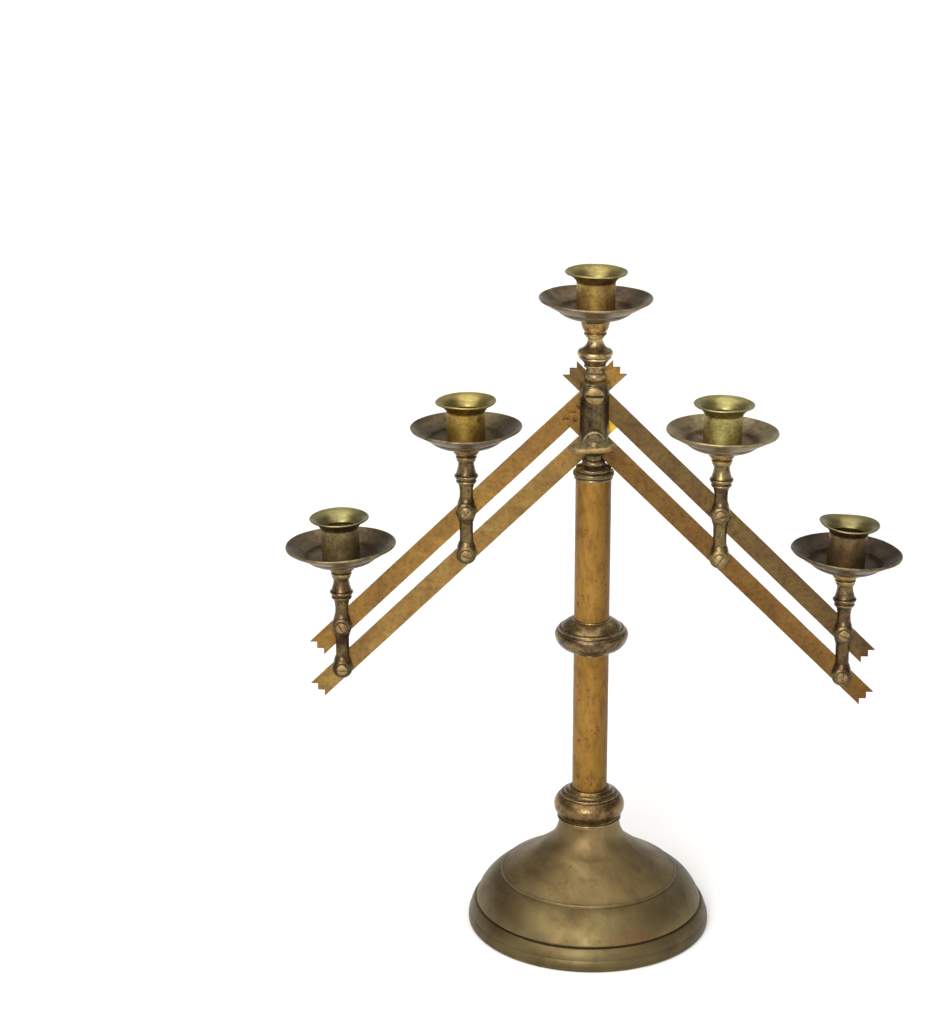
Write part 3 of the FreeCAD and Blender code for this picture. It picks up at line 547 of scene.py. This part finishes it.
TUBE_END, TUBE_BORE, TUBE_STEPS = 11.6, 10.45, 60
for word, foot, length, seed in (("lower", *LOWER_TUBE, 2.0), ("upper", *UPPER_TUBE, 6.0)):
    rings = [(TUBE_RADIUS, length * i / TUBE_STEPS) for i in range(1, TUBE_STEPS)]
    rings = [(TUBE_END, 0.0)] + rings + [(TUBE_END, length), (TUBE_BORE, length), (TUBE_BORE, 0.0)]
    tube = dented(lathe(rings, 128), seed, 0.07, 18.0)
    finished(f"column_tube_{word}", tube, "root", "tube_brass", [f"{word}_tube"],
             shift=(0, 0, foot), tone=TONES["tube"], shade=room_side)

finished("column_knop", dented(lathe(outline([
    (ROD_HOLE, -10.0), (SPIGOT, -10.0), (SPIGOT, 0.0), (12.7, 0.0), (13.3, 0.8, 13.4, 0.2),
    (13.0, 1.5), (13.5, 2.1), (24.3, 11.0, 20.9, 4.9), (23.3, 15.2, 24.4, 13.2), (22.5, 15.4),
    (22.2, 16.2), (21.4, 17.3, 22.0, 17.0), (20.2, 17.6), (19.9, 18.2), (13.4, 22.6, 17.6, 20.4),
    (12.8, 22.8), (12.7, 23.6), (SPIGOT, 23.8), (SPIGOT, 33.8), (ROD_HOLE, 33.8),
], soft=0.25), 144), 9.0, 0.1), "root", "turned_bronze", ["mid_knop"], shift=(0, 0, KNOP_FOOT),
    tone=TONES["knop"])

# ---------------------------------------------------------------- hub

# Levels in the hub are from its foot.
PIVOT = UPPER_PIVOT - HUB_FOOT
CHEEK_FOOT, CHEEK_TOP = 17.0, PIVOT + 6.9
SLOT_HALF = 0.5 + BAR_THICKNESS + 0.3    # half a shim, one bar and a running gap
HUB_BOSS, HUB_BOSS_FLAT = 6.6, 5.7


def boss(radius, face, level, crown):
    """A round boss right through a stem, flat as far out as crown and rounded from there."""
    rise = radius - crown
    corner = (crown + rise * 0.71, face - rise * 0.29)    # half way round, at 45 degrees
    turned = lathe(outline([
        (0, -face), (crown, -face), (radius, rise - face, corner[0], -corner[1]),
        (radius, face - rise), (crown, face, *corner), (0, face)], soft=0.2, count=8), 72)
    return to_front(turned, 0.0, level)


hub_outline = outline([
    (0, 3.4), (3.0, 3.4), (3.0, -10.0), (SPIGOT, -10.0), (SPIGOT, 0.0), (12.4, 0.0),
    (12.8, 0.9, 12.8, 0.3), (12.5, 1.7), (12.9, 2.2), (13.6, 3.4, 13.5, 2.6),
    (12.9, 5.0, 13.5, 4.4), (12.0, 5.3), (11.9, 5.9), (10.8, 8.0, 11.9, 7.2), (9.4, 8.3),
    (7.6, 9.0), (6.6, 13.2, 8.2, 11.2), (6.4, 14.4), (9.9, 19.0, 7.2, 16.9), (9.9, 30.0),
    (9.9, 50.0), (9.9, PIVOT + 6.8), (9.3, PIVOT + 7.5), (8.6, PIVOT + 7.6), (7.0, PIVOT + 8.1),
    (7.0, PIVOT + 13.0, 7.9, PIVOT + 10.6), (6.3, PIVOT + 13.4), (6.4, PIVOT + 15.6),
    (6.6, PIVOT + 17.0), (7.6, PIVOT + 17.6, 7.4, PIVOT + 17.1),
    (7.6, PIVOT + 18.5, 7.9, PIVOT + 18.1), (7.1, PIVOT + 18.8),
    (9.7, PIVOT + 22.3, 8.2, PIVOT + 20.4), (10.6, PIVOT + 23.4, 10.5, PIVOT + 22.7),
    (10.3, PIVOT + 24.0), (9.4, PIVOT + 28.4, 11.6, PIVOT + 26.0),
    (4.9, PIVOT + 35.3, 5.9, PIVOT + 31.8), (5.0, PIVOT + 36.4),
    (6.4, PIVOT + 37.4, 6.1, PIVOT + 36.7), (6.6, PIVOT + HUB_TOP), (STUD, PIVOT + HUB_TOP),
    (STUD, PIVOT + 42.2), (0, PIVOT + 42.2),
], soft=0.2, count=10)
hub, hub_edges = carved(
    lathe(hub_outline, 112),
    ("UNION", boss(HUB_BOSS, HUB_FACE, PIVOT - PIVOT_SPACING, HUB_BOSS_FLAT)),
    ("UNION", boss(HUB_BOSS, HUB_FACE, PIVOT, HUB_BOSS_FLAT)),
    ("DIFFERENCE", block((-20, -SLOT_HALF, 4.9), (20, SLOT_HALF, PIVOT + 20.4))))


def hub_shade(place):
    """Bright above the slot and dark on the cheeks, which makes up for light that is too even."""
    if place.z > PIVOT + 7.5:
        return 0.9
    return -0.36 if CHEEK_FOOT < place.z < CHEEK_TOP else 0.0


finished("hub_casting", hub, "root", "turned_bronze", ["hub_fork"], hub_edges,
         shift=(0, 0, HUB_FOOT), tone=TONES["hub"], shade=hub_shade)

# ---------------------------------------------------------------- screws

# Painted shadow with grime: every vertex inside a screw's sawn slot takes this crease value, so the
# slot is filled with the dark crease colour.
SLOT_SHADOW_AND_GRIME = -1.4


def screw(name, body, node, x, front, level, shank, length, head, rise, turn, slot_width=1.25):
    """A domed cheese head with a sawn slot, laid on its side to face the front."""
    turned = lathe(outline([
        (0, -length), (shank, -length), (shank, -0.1), (head - 0.3, 0.0), (head, 0.3),
        (head, rise * 0.5), (head * 0.9, rise * 0.72, head * 0.98, rise * 0.64),
        (0, rise, head * 0.5, rise * 0.93)], soft=0.15, count=8), 56)
    slot = block((-slot_width / 2, -9, rise * 0.3), (slot_width / 2, 9, rise + 2))
    mesh, edges = carved(turned, ("DIFFERENCE", slot), cut=SLOT_SHADOW_AND_GRIME)
    to_front(mesh, front, level, math.radians(turn), x)
    return finished(name, mesh, body, "screw_brass", [node], edges, tone=TONES["screw"])


screw("hub_screw_head", "root", "hub_pivot_screw", 0, -HUB_FACE, UPPER_PIVOT, 2.4, 21.2, 5.6, 2.6,
      92, 1.3)

# ---------------------------------------------------------------- thumbscrew

SEAT = HUB_FACE + 1.0 + 0.6    # the washer and a running gap stand before the hub
WING_CENTRE = 11.8
WING_SHIFT = -1.1              # the wing is cast a little off its shank
WING_HALF_WIDTH, WING_HALF_DEPTH, WING_HALF_THICKNESS = 15.6, 8.8, 2.9


def wing_rim_colour(place, normal):
    """Rustier on the far rim of the wing."""
    return 0.75 if place.y < -SEAT - 14.0 and abs(normal.z) < 0.75 else 0.0


def thumbscrew():
    """Shank, collar and cone with a cast two-lobed wing, pebbled on its faces and scalloped at its
    rim."""
    spindle = lathe(outline([
        (0, -SEAT - HUB_FACE - 2.0), (2.2, -SEAT - HUB_FACE - 2.0), (2.4, -SEAT - HUB_FACE - 1.2),
        (2.4, 0.0), (6.6, 0.0), (7.0, 0.5, 6.9, 0.1), (7.0, 2.0), (6.6, 2.6, 6.9, 2.4), (6.0, 3.0),
        (3.4, 12.5, 4.9, 7.0),
        (0, 15.5, 2.4, 14.6)], soft=0.25), 72)
    wing = bmesh.new()
    across, around = 30, 180
    rings = {1: [], -1: []}
    for side in (1, -1):
        for ring in range(across + 1):
            share = 1 - (1 - ring / across) ** 1.8
            row = []
            for step in range(around):
                angle = 2 * math.pi * step / around
                cx, cy = math.cos(angle), math.sin(angle)
                # two lobes: wide to the sides, with a shallow notch at the front and the back
                notch = 1 - 0.17 * math.exp(-(cx / 0.3) ** 2)
                reach_x = WING_HALF_WIDTH * abs(cx) ** 0.85 * math.copysign(1, cx)
                reach_y = WING_HALF_DEPTH * cy * notch * (1.0 if cy > 0 else 0.9)
                scallop = 1 + 0.016 * math.sin(angle * 9 + 0.6)
                x = reach_x * share * scallop + WING_SHIFT
                y = WING_CENTRE + reach_y * share * scallop
                # thinner outwards and at the lobes' ends, and rounded off at the rim
                thick = ((WING_HALF_THICKNESS - 0.07 * (y - 3)) * (1 - share ** 12) ** 0.5
                         * (1 - 0.2 * abs(x / 15.7) ** 3))
                grain = noise.noise(Vector((x * 0.95, y * 0.95, side * 4.0)))
                pebble = 0.3 * grain * (1 - share ** 8)
                droop = -0.2 - 0.052 * (y - 3) + 0.003 * x * x * (1 if x > 0 else 0.2)
                row.append(wing.verts.new((x, side * (thick + pebble) + droop, y)))
                if ring == 0:
                    break
            rings[side].append(row)
    for side in (1, -1):
        for low, high in zip(rings[side], rings[side][1:]):
            for i in range(around):
                j = (i + 1) % around
                near = [low[i % len(low)], low[j % len(low)]]
                corners = list(dict.fromkeys(near + [high[j], high[i]]))
                wing.faces.new(corners if side > 0 else corners[::-1])
    bmesh.ops.remove_doubles(wing, verts=wing.verts, dist=0.02)
    bmesh.ops.recalc_face_normals(wing, faces=wing.faces)
    mesh, edges = carved(spindle, ("UNION", wing))
    to_front(mesh, -SEAT, LOWER_PIVOT, math.radians(-4))
    return finished("thumbscrew_wing", mesh, "thumbscrew", "thumb_brass", ["thumbscrew"], edges,
                    sharp=50, tone=TONES["wing"], other=wing_rim_colour)


thumbscrew()
washer = to_front(lathe(outline([
    (2.5, -0.5), (6.1, -0.5), (6.4, -0.2), (6.4, 0.2), (6.1, 0.5), (2.5, 0.5),
], soft=0.15), 64), -HUB_FACE - 0.8, LOWER_PIVOT)
finished("clamp_ring", washer, "clamp", "screw_brass", ["clamp_washer"])

# ---------------------------------------------------------------- bars

BAR_FAR, BAR_TAIL = 2 * LINK + 24.0, -23.0
BAR_STEPS = 64
HUB_HOLE, STEM_HOLE = 2.48, 1.98
RUBBED_WIDTH = 1.1                               # how far rubbing reaches in from an edge
ROWS = (-5.9, -5.2, -3.0, 0.0, 3.0, 5.2, 5.9)    # rows of vertices along the bar, to carry it
TAIL_START = -8.5


def bar(side, word, level, body, seed, extra_hole=None, fresh_tail=False):
    """A flat bar with saw teeth at each end, its long edges a little uneven. s runs along it from
    the hub's pivot and v across it. fresh_tail shows bright brass behind the hub's pivot."""
    sign = 1 if side == "right" else -1
    far, tail = BAR_FAR, BAR_TAIL
    quarter = BAR_HALF / 2
    top = [(far - (far - tail) * i / BAR_STEPS, BAR_HALF) for i in range(BAR_STEPS + 1)]
    low = [(tail + (far - tail) * i / BAR_STEPS, -BAR_HALF) for i in range(BAR_STEPS + 1)]
    rim = ([(far - quarter, -quarter), (far, 0.0), (far - quarter, quarter)] + top
           + [(tail + quarter, quarter), (tail, 0.0), (tail + quarter, -quarter)] + low)
    mesh = bmesh.new()
    verts = []
    for s, v in rim:
        straight = tail + 1 < s < far - 1 and abs(v) > BAR_HALF - 0.1
        wander = 0.12 * noise.noise(Vector((s / 26, v, seed))) if straight else 0.0
        verts.append(mesh.verts.new((s, 0, v - abs(wander) * math.copysign(1, v))))
    face = mesh.faces.new(verts)
    pushed = bmesh.ops.extrude_face_region(mesh, geom=[face])
    bmesh.ops.translate(mesh, vec=(0, BAR_THICKNESS, 0),
                        verts=[g for g in pushed["geom"] if isinstance(g, bmesh.types.BMVert)])
    bmesh.ops.translate(mesh, vec=(0, -BAR_THICKNESS / 2, 0), verts=mesh.verts)
    bmesh.ops.recalc_face_normals(mesh, faces=mesh.faces)
    rim_edges = [e for e in mesh.edges if abs(e.verts[0].co.y - e.verts[1].co.y) < 0.1]
    bmesh.ops.bevel(mesh, geom=rim_edges, offset=0.3, segments=2, profile=0.6, affect="EDGES")
    holes = [(0.0, HUB_HOLE), (LINK, STEM_HOLE), (2 * LINK, STEM_HOLE)]
    holes += [extra_hole] if extra_hole else []
    cutters = []
    for s, radius in holes:
        pin = lathe([(0, -4), (radius, -4), (radius, 4), (0, 4)], 32)
        cutters.append(("DIFFERENCE", to_front(pin, 0, 0, 0, s)))
    mesh, _ = carved(mesh, *cutters)
    for offset in ROWS:
        everything = list(mesh.verts) + list(mesh.edges) + list(mesh.faces)
        bmesh.ops.bisect_plane(mesh, geom=everything, plane_co=(0, 0, offset), plane_no=(0, 0, 1),
                               dist=1e-4)
    edges = []
    for vert in mesh.verts:
        rim_gap = BAR_HALF - abs(vert.co.z)
        uneven = 0.55 + 0.5 * noise.noise(vert.co / 9 + Vector((seed, 0, 0)))
        edges.append(max(0.0, 1.0 - rim_gap / RUBBED_WIDTH) * uneven)
    turn = Matrix(((sign * math.cos(DROOP), 0, sign * math.sin(DROOP), 0), (0, 1, 0, -sign * LAYER),
                   (-math.sin(DROOP), 0, math.cos(DROOP), level), (0, 0, 0, 1)))
    mesh.transform(turn)
    if sign < 0:
        bmesh.ops.reverse_faces(mesh, faces=mesh.faces)
    return finished(
        f"{side}_{word}_strap", mesh, body, "bar_brass", [f"{side}_{word}_bar"], edges, sharp=25,
        tone=TONES[f"{side}_{word}_bar"],
        shade=lambda place: 0.34 * noise.noise(Vector((place.x / 22, place.z / 22, seed))),
        other=lambda place, normal: 1.0 if fresh_tail and place.x * sign < TAIL_START else 0.0)


bar("left", "upper", UPPER_PIVOT, "left_arm", 3.0)
bar("left", "lower", LOWER_PIVOT, "left_lower_link", 11.0, fresh_tail=True)
bar("right", "upper", UPPER_PIVOT, "right_arm", 23.0)
bar("right", "lower", LOWER_PIVOT, "right_lower_link", 37.0, extra_hole=(-17.0, 1.7))

# ---------------------------------------------------------------- branches and lights

STEM_FACE = 6.6
STEM_BOSS, STEM_BOSS_FLAT = 6.8, 3.7
STEM_SLOT_HALF = 1.4
# Levels in a stem are from its upper screw.
stem_outline = outline([
    (0, -36.8), (5.0, -34.2, 2.8, -36.3), (4.7, -21.6, 6.3, -30.0), (4.55, -15.0), (4.7, -8.4),
    (4.7, 8.4, 6.3, 0.0), (4.55, 13.0), (4.7, 14.4), (5.9, 18.9, 5.0, 16.8),
    (6.7, 19.6, 6.5, 19.1), (6.7, 20.4, 6.9, 20.0), (6.2, 20.9), (6.3, 21.6),
    (7.5, 22.7, 7.1, 22.0), (7.6, 24.3, 7.9, 23.5), (7.0, 24.8), (6.7, 25.4),
    (5.3, 30.8, 6.0, 27.7), (5.3, 31.6), (6.4, 34.6, 5.6, 33.2), (6.6, STEM_TOP), (STUD, STEM_TOP),
    (STUD, 40.0), (0, 40.0),
], soft=0.2, count=10)


def stem(prefix, x, y, level):
    """A turned stem, forked over the two bars, with a boss at each screw."""
    mesh, edges = carved(
        lathe(stem_outline, 80),
        ("UNION", boss(STEM_BOSS, STEM_FACE, 0.0, STEM_BOSS_FLAT)),
        ("UNION", boss(STEM_BOSS, STEM_FACE, -PIVOT_SPACING, STEM_BOSS_FLAT)),
        ("DIFFERENCE", block((-12, -STEM_SLOT_HALF, -40.0), (12, STEM_SLOT_HALF, 15.8))))
    # Painted light: everything above the bead over the slot is made lighter.
    return finished(
        f"{prefix}_baluster", mesh, f"{prefix}_light", "turned_bronze", [f"{prefix}_stem"], edges,
        shift=(x, y, level), tone=TONES[f"{prefix}_stem"],
        shade=lambda place: 0.35 if place.z > 19.5 else 0.0)


PAN_WALL = 1.3
PAN_RIM = 12.2
CANDLE_BORE = 11.4
CUP_SEATING = 4.3    # the cup's stud ends this far above the socket's foot
CUP_WALL_OUTSIDE = 13.6
SOCKET = {"top": (11.4, 9.3, 7.4), "branch": (8.3, 9.0, 6.9)}    # height, radius of head and foot


def cup_shade(spot):
    """The body lighter in front and darker round the sides, painted light as on a tube, and the
    mouth a little darker all round.
    """
    return room_side(spot) if math.hypot(spot.x, spot.y) < CUP_WALL_OUTSIDE else -0.2


def pan_underside_shade(spot, normal):
    """Painted shade: a darker, browner underside."""
    return 0.45 if normal.z < -0.1 else 0.0


def light(prefix, body, kind, x, y, level, tilt, dent, seed, lift=0.0):
    """Socket, drip pan and candle cup. tilt, in degrees, leans pan and cup about the middle of the
    pan's rim, dent shapes the cup's lip, and lift makes the cup taller."""
    height, head, foot = SOCKET[kind]
    rim_level = height + PAN_RIM
    turn = (Matrix.Translation((0, 0, rim_level)) @ Matrix.Rotation(math.radians(tilt), 4, "Y")
            @ Matrix.Translation((0, 0, -rim_level)))
    lean = -math.tan(math.radians(tilt)) * (rim_level - height)

    flare = ((head + foot) / 2 + 0.25, height * 0.42)
    socket = lathe(outline([
        (STUD, 0.0), (foot - 0.7, 0.0), (foot, 0.5, foot - 0.1, 0.1),
        (foot - 0.1, 1.2, foot + 0.1, 0.9), (foot - 0.5, 1.6), (foot - 0.3, 2.1),
        (head - 0.1, height - 2.3, *flare), (head - 0.5, height - 1.9), (head, height - 1.4),
        (head, height - 0.3), (head - 0.4, height),
        (STUD, height)], soft=0.15, count=10), 88)
    for vert in socket.verts:
        vert.co.x += lean * max(0.0, vert.co.z / height)
    finished(f"{prefix}_cup_seat", socket, body, "turned_bronze", [f"{prefix}_socket"],
             shift=(x, y, level), tone=TONES["socket"])

    pan = lathe(outline([
        (STUD, 0.0), (10.5, 0.0), (16.5, 0.5, 13.5, 0.12), (23.2, 3.4, 20.3, 1.5),
        (24.4, 4.9, 24.0, 4.0), (25.2, 5.2), (35.6, 11.8, 30.6, 8.3), (36.6, PAN_RIM, 36.4, 11.8),
        (36.6, 13.2, 36.8, 12.7), (35.9, 13.4, 36.3, 13.4), (34.9, 12.7), (30.0, 9.4, 32.6, 11.0),
        (24.6, 6.4), (23.9, 5.6),
        (19.4, 2.6, 21.8, 3.7), (10.5, PAN_WALL, 15.2, 1.5), (STUD, PAN_WALL)],
        soft=0.3, count=12), 160)
    for vert in pan.verts:
        radius, angle = math.hypot(vert.co.x, vert.co.y), math.atan2(vert.co.y, vert.co.x)
        share = max(0.0, (radius - 20.0) / 17.0)
        wave = 0.28 * math.sin(2 * angle + seed) + 0.16 * math.sin(3 * angle + seed * 1.7)
        vert.co.z += share * share * (wave - 0.3)
    dented(pan, seed, 0.18, 14.0)
    pan_edges = curvature(pan)
    pan.transform(turn @ Matrix.Translation((0, 0, height)))
    finished(f"{prefix}_dish", pan, body, "pan_bronze", [f"{prefix}_drip_pan"], pan_edges,
             shift=(x, y, level), tone=TONES[f"{prefix}_pan"], other=pan_underside_shade)

    stud = -(PAN_WALL + height - CUP_SEATING)
    cup = lathe(outline([
        (0, stud), (3.4, stud), (3.4, 0.0), (12.2, 0.0), (12.8, 0.5, 12.7, 0.1), (12.6, 1.3),
        (12.7, 21.6), (13.6, 23.6, 12.9, 22.6), (19.0, 27.7, 15.8, 25.9), (20.2, 28.5, 19.8, 28.0),
        (20.3, 29.1, 20.4, 28.8), (19.6, 29.4, 20.0, 29.4), (18.8, 28.9), (13.2, 24.6, 15.3, 27.1),
        (CANDLE_BORE, 21.8, 12.1, 23.2), (CANDLE_BORE, 2.2), (10.8, 1.6), (0, 1.6)],
        soft=0.2, count=12), 136)
    for vert in cup.verts:
        radius, angle = math.hypot(vert.co.x, vert.co.y), math.atan2(vert.co.y, vert.co.x)
        share = min(1.0, max(0.0, (vert.co.z - 21.0) / 8.0)) ** 1.5
        sink = dent[0] * math.sin(2 * (angle - dent[1])) + dent[2] * math.sin(3 * angle + seed)
        down = (abs(dent[0]) + abs(dent[2])) * (0.5 if kind == "top" else 0.1)
        raised = lift * min(1.0, max(0.0, (vert.co.z - 2.0) / 18.0))
        vert.co.z += share * (sink * 0.5 - down) + raised
        pull = 1 - share * 0.02 * (1 + math.sin(2 * angle + seed * 2.3))
        vert.co.x *= pull
        vert.co.y *= pull
    dented(cup, seed + 5, 0.12, 9.0)
    cup_edges = curvature(cup)
    cup.transform(turn @ Matrix.Translation((0, 0, height + PAN_WALL)))
    finished(f"{prefix}_candle_holder", cup, body, "cup_brass", [f"{prefix}_candle_cup"], cup_edges,
             shift=(x, y, level), tone=TONES[f"{prefix}_cup"],
             shade=cup_shade,
             other=lambda spot, normal: 0.45 if normal.z > 0.25 and spot.z > height + 20 else 0.0)


# Side, place, number of links out, slots' turns, tilt of the pan, dents of the lip as (depth in two
# waves, their turn, depth in three waves), seed, cup's lift.
BRANCHES = (
    ("left", "inner", 1, (45, 110), -0.8, (0.5, 0.3, 0.35), 1.3, 0.0),
    ("left", "outer", 2, (148, 92), -2.3, (0.3, 0.9, 0.2), 2.9, 1.2),
    ("right", "inner", 1, (75, 40), 1.6, (0.3, 1.2, 0.2), 4.1, 0.4),
    ("right", "outer", 2, (112, 5), 3.4, (1.2, 2.4, 0.4), 5.7, 2.0),
)
for side, place, links, turns, tilt, dent, seed, lift in BRANCHES:
    sign = 1 if side == "right" else -1
    prefix = f"{side}_{place}"
    x = sign * links * LINK * math.cos(DROOP)
    level = UPPER_PIVOT - links * LINK * math.sin(DROOP)
    y = -sign * LAYER
    stem(prefix, x, y, level)
    for word, drop, turn in (("upper", 0.0, turns[0]), ("lower", PIVOT_SPACING, turns[1])):
        screw(f"{prefix}_{word}_screw_head", f"{prefix}_light", f"{prefix}_{word}_screw",
              x, y - STEM_FACE, level - drop, 1.9, 13.2, 3.5, 1.5, turn)
    light(prefix, f"{prefix}_light", "branch", x, y, level + STEM_TOP, tilt, dent, seed, lift)
light("top", "root", "top", 0.0, 0.0, UPPER_PIVOT + HUB_TOP, 0.4, (0.3, 0.5, 0.2), 7.9)

# ---------------------------------------------------------------- CAD nodes that stay

slots = {part["node"]: part["material_slot"] for part in reversed(frame["record"]["subparts"])}
for name, node in frame["nodes"].items():
    for cell in node.material_slots:
        cell.material = finish(slots[name])

# ---------------------------------------------------------------- floor, light and camera

ground = bmesh.new()
bmesh.ops.create_grid(ground, x_segments=8, y_segments=8, size=14.0)
floor = as_object(ground, "floor")
paint, _, floor_surface = shader("pale_floor")
floor_surface.inputs["Base Color"].default_value = (0.86, 0.86, 0.86, 1)
floor_surface.inputs["Roughness"].default_value = 0.9
floor_surface.inputs["Specular IOR Level"].default_value = 0.1
floor.data.materials.append(paint)

world = bpy.data.worlds.new("studio")
bpy.context.scene.world = world
world.use_nodes = True
sky = world.node_tree
direction = sky.nodes.new("ShaderNodeTexCoord")
height_of = sky.nodes.new("ShaderNodeSeparateXYZ")
link(sky, direction.outputs["Generated"], height_of.inputs[0])
# A pale studio wall past the floor's end, and a dimmer ceiling above it.
WALL, CEILING = (1.0, 1.0, 1.0, 1), (0.2, 0.198, 0.194, 1)
walls = ramp(sky, height_of.outputs["Z"], ((0.16, WALL), (0.3, CEILING)))
link(sky, walls, sky.nodes["Background"].inputs["Color"])
sky.nodes["Background"].inputs["Strength"].default_value = 1.0


def light_object(name, kind, strength, colour):
    data = bpy.data.lights.new(name, kind)
    data.energy = strength
    data.color = colour
    thing = bpy.data.objects.new(name, data)
    bpy.context.collection.objects.link(thing)
    return thing, data


def lamp(name, place, aim, size, power):
    """A square soft lamp at a place, turned to a point, in metres and watts."""
    thing, data = light_object(name, "AREA", power, (1, 0.98, 0.94))
    data.shape = "RECTANGLE"
    data.size = data.size_y = size
    thing.location = place
    thing.rotation_euler = (Vector(aim) - Vector(place)).to_track_quat("-Z", "Y").to_euler()


def sun(name, towards, angle, strength):
    """Even light from one side of the sky, as wide as angle in degrees."""
    thing, data = light_object(name, "SUN", strength, (1, 0.985, 0.96))
    data.angle = math.radians(angle)
    thing.rotation_euler = Vector(towards).to_track_quat("Z", "Y").to_euler()


sun("overhead", (-0.12, -0.28, 1.0), 75, 2.3)
sun("behind", (0.15, 0.7, 1.0), 60, 0.4)
sun("front_left", (-0.55, -1.0, 0.75), 42, 0.9)
sun("front_right", (0.6, -1.0, 0.7), 42, 0.3)
sun("front", (-0.15, -1.0, 0.38), 22, 1.3)
MIDDLE = (0, 0, 0.28)
lamp("left_lamp", (-0.62, -1.75, 1.15), MIDDLE, 0.16, 1.6)
lamp("right_lamp", (0.42, -1.85, 1.15), MIDDLE, 0.14, 1.1)

# The camera looks a little down and to the left of straight ahead.
CAMERA_PLACE = (-0.01763, -1.66026, 0.84508)
YAW, PITCH, ROLL = (math.radians(a) for a in (-2.298, 18.224, -0.146))
camera_data = bpy.data.cameras.new("camera")
camera_data.sensor_width = 36.0
camera_data.lens = 94.53
camera_data.clip_start, camera_data.clip_end = 0.05, 60.0
camera = bpy.data.objects.new("camera", camera_data)
bpy.context.collection.objects.link(camera)
bpy.context.scene.camera = camera
level_part = math.cos(PITCH)
forward = Vector((math.sin(YAW) * level_part, math.cos(YAW) * level_part, -math.sin(PITCH)))
right = Vector((math.cos(YAW), -math.sin(YAW), 0))
upward = right.cross(forward)
across = right * math.cos(ROLL) + upward * math.sin(ROLL)
upright = upward * math.cos(ROLL) - right * math.sin(ROLL)
facing = Matrix((across, upright, -forward)).transposed()
camera.matrix_world = Matrix.Translation(CAMERA_PLACE) @ facing.to_4x4()

bpy.context.scene.view_settings.view_transform = "Standard"
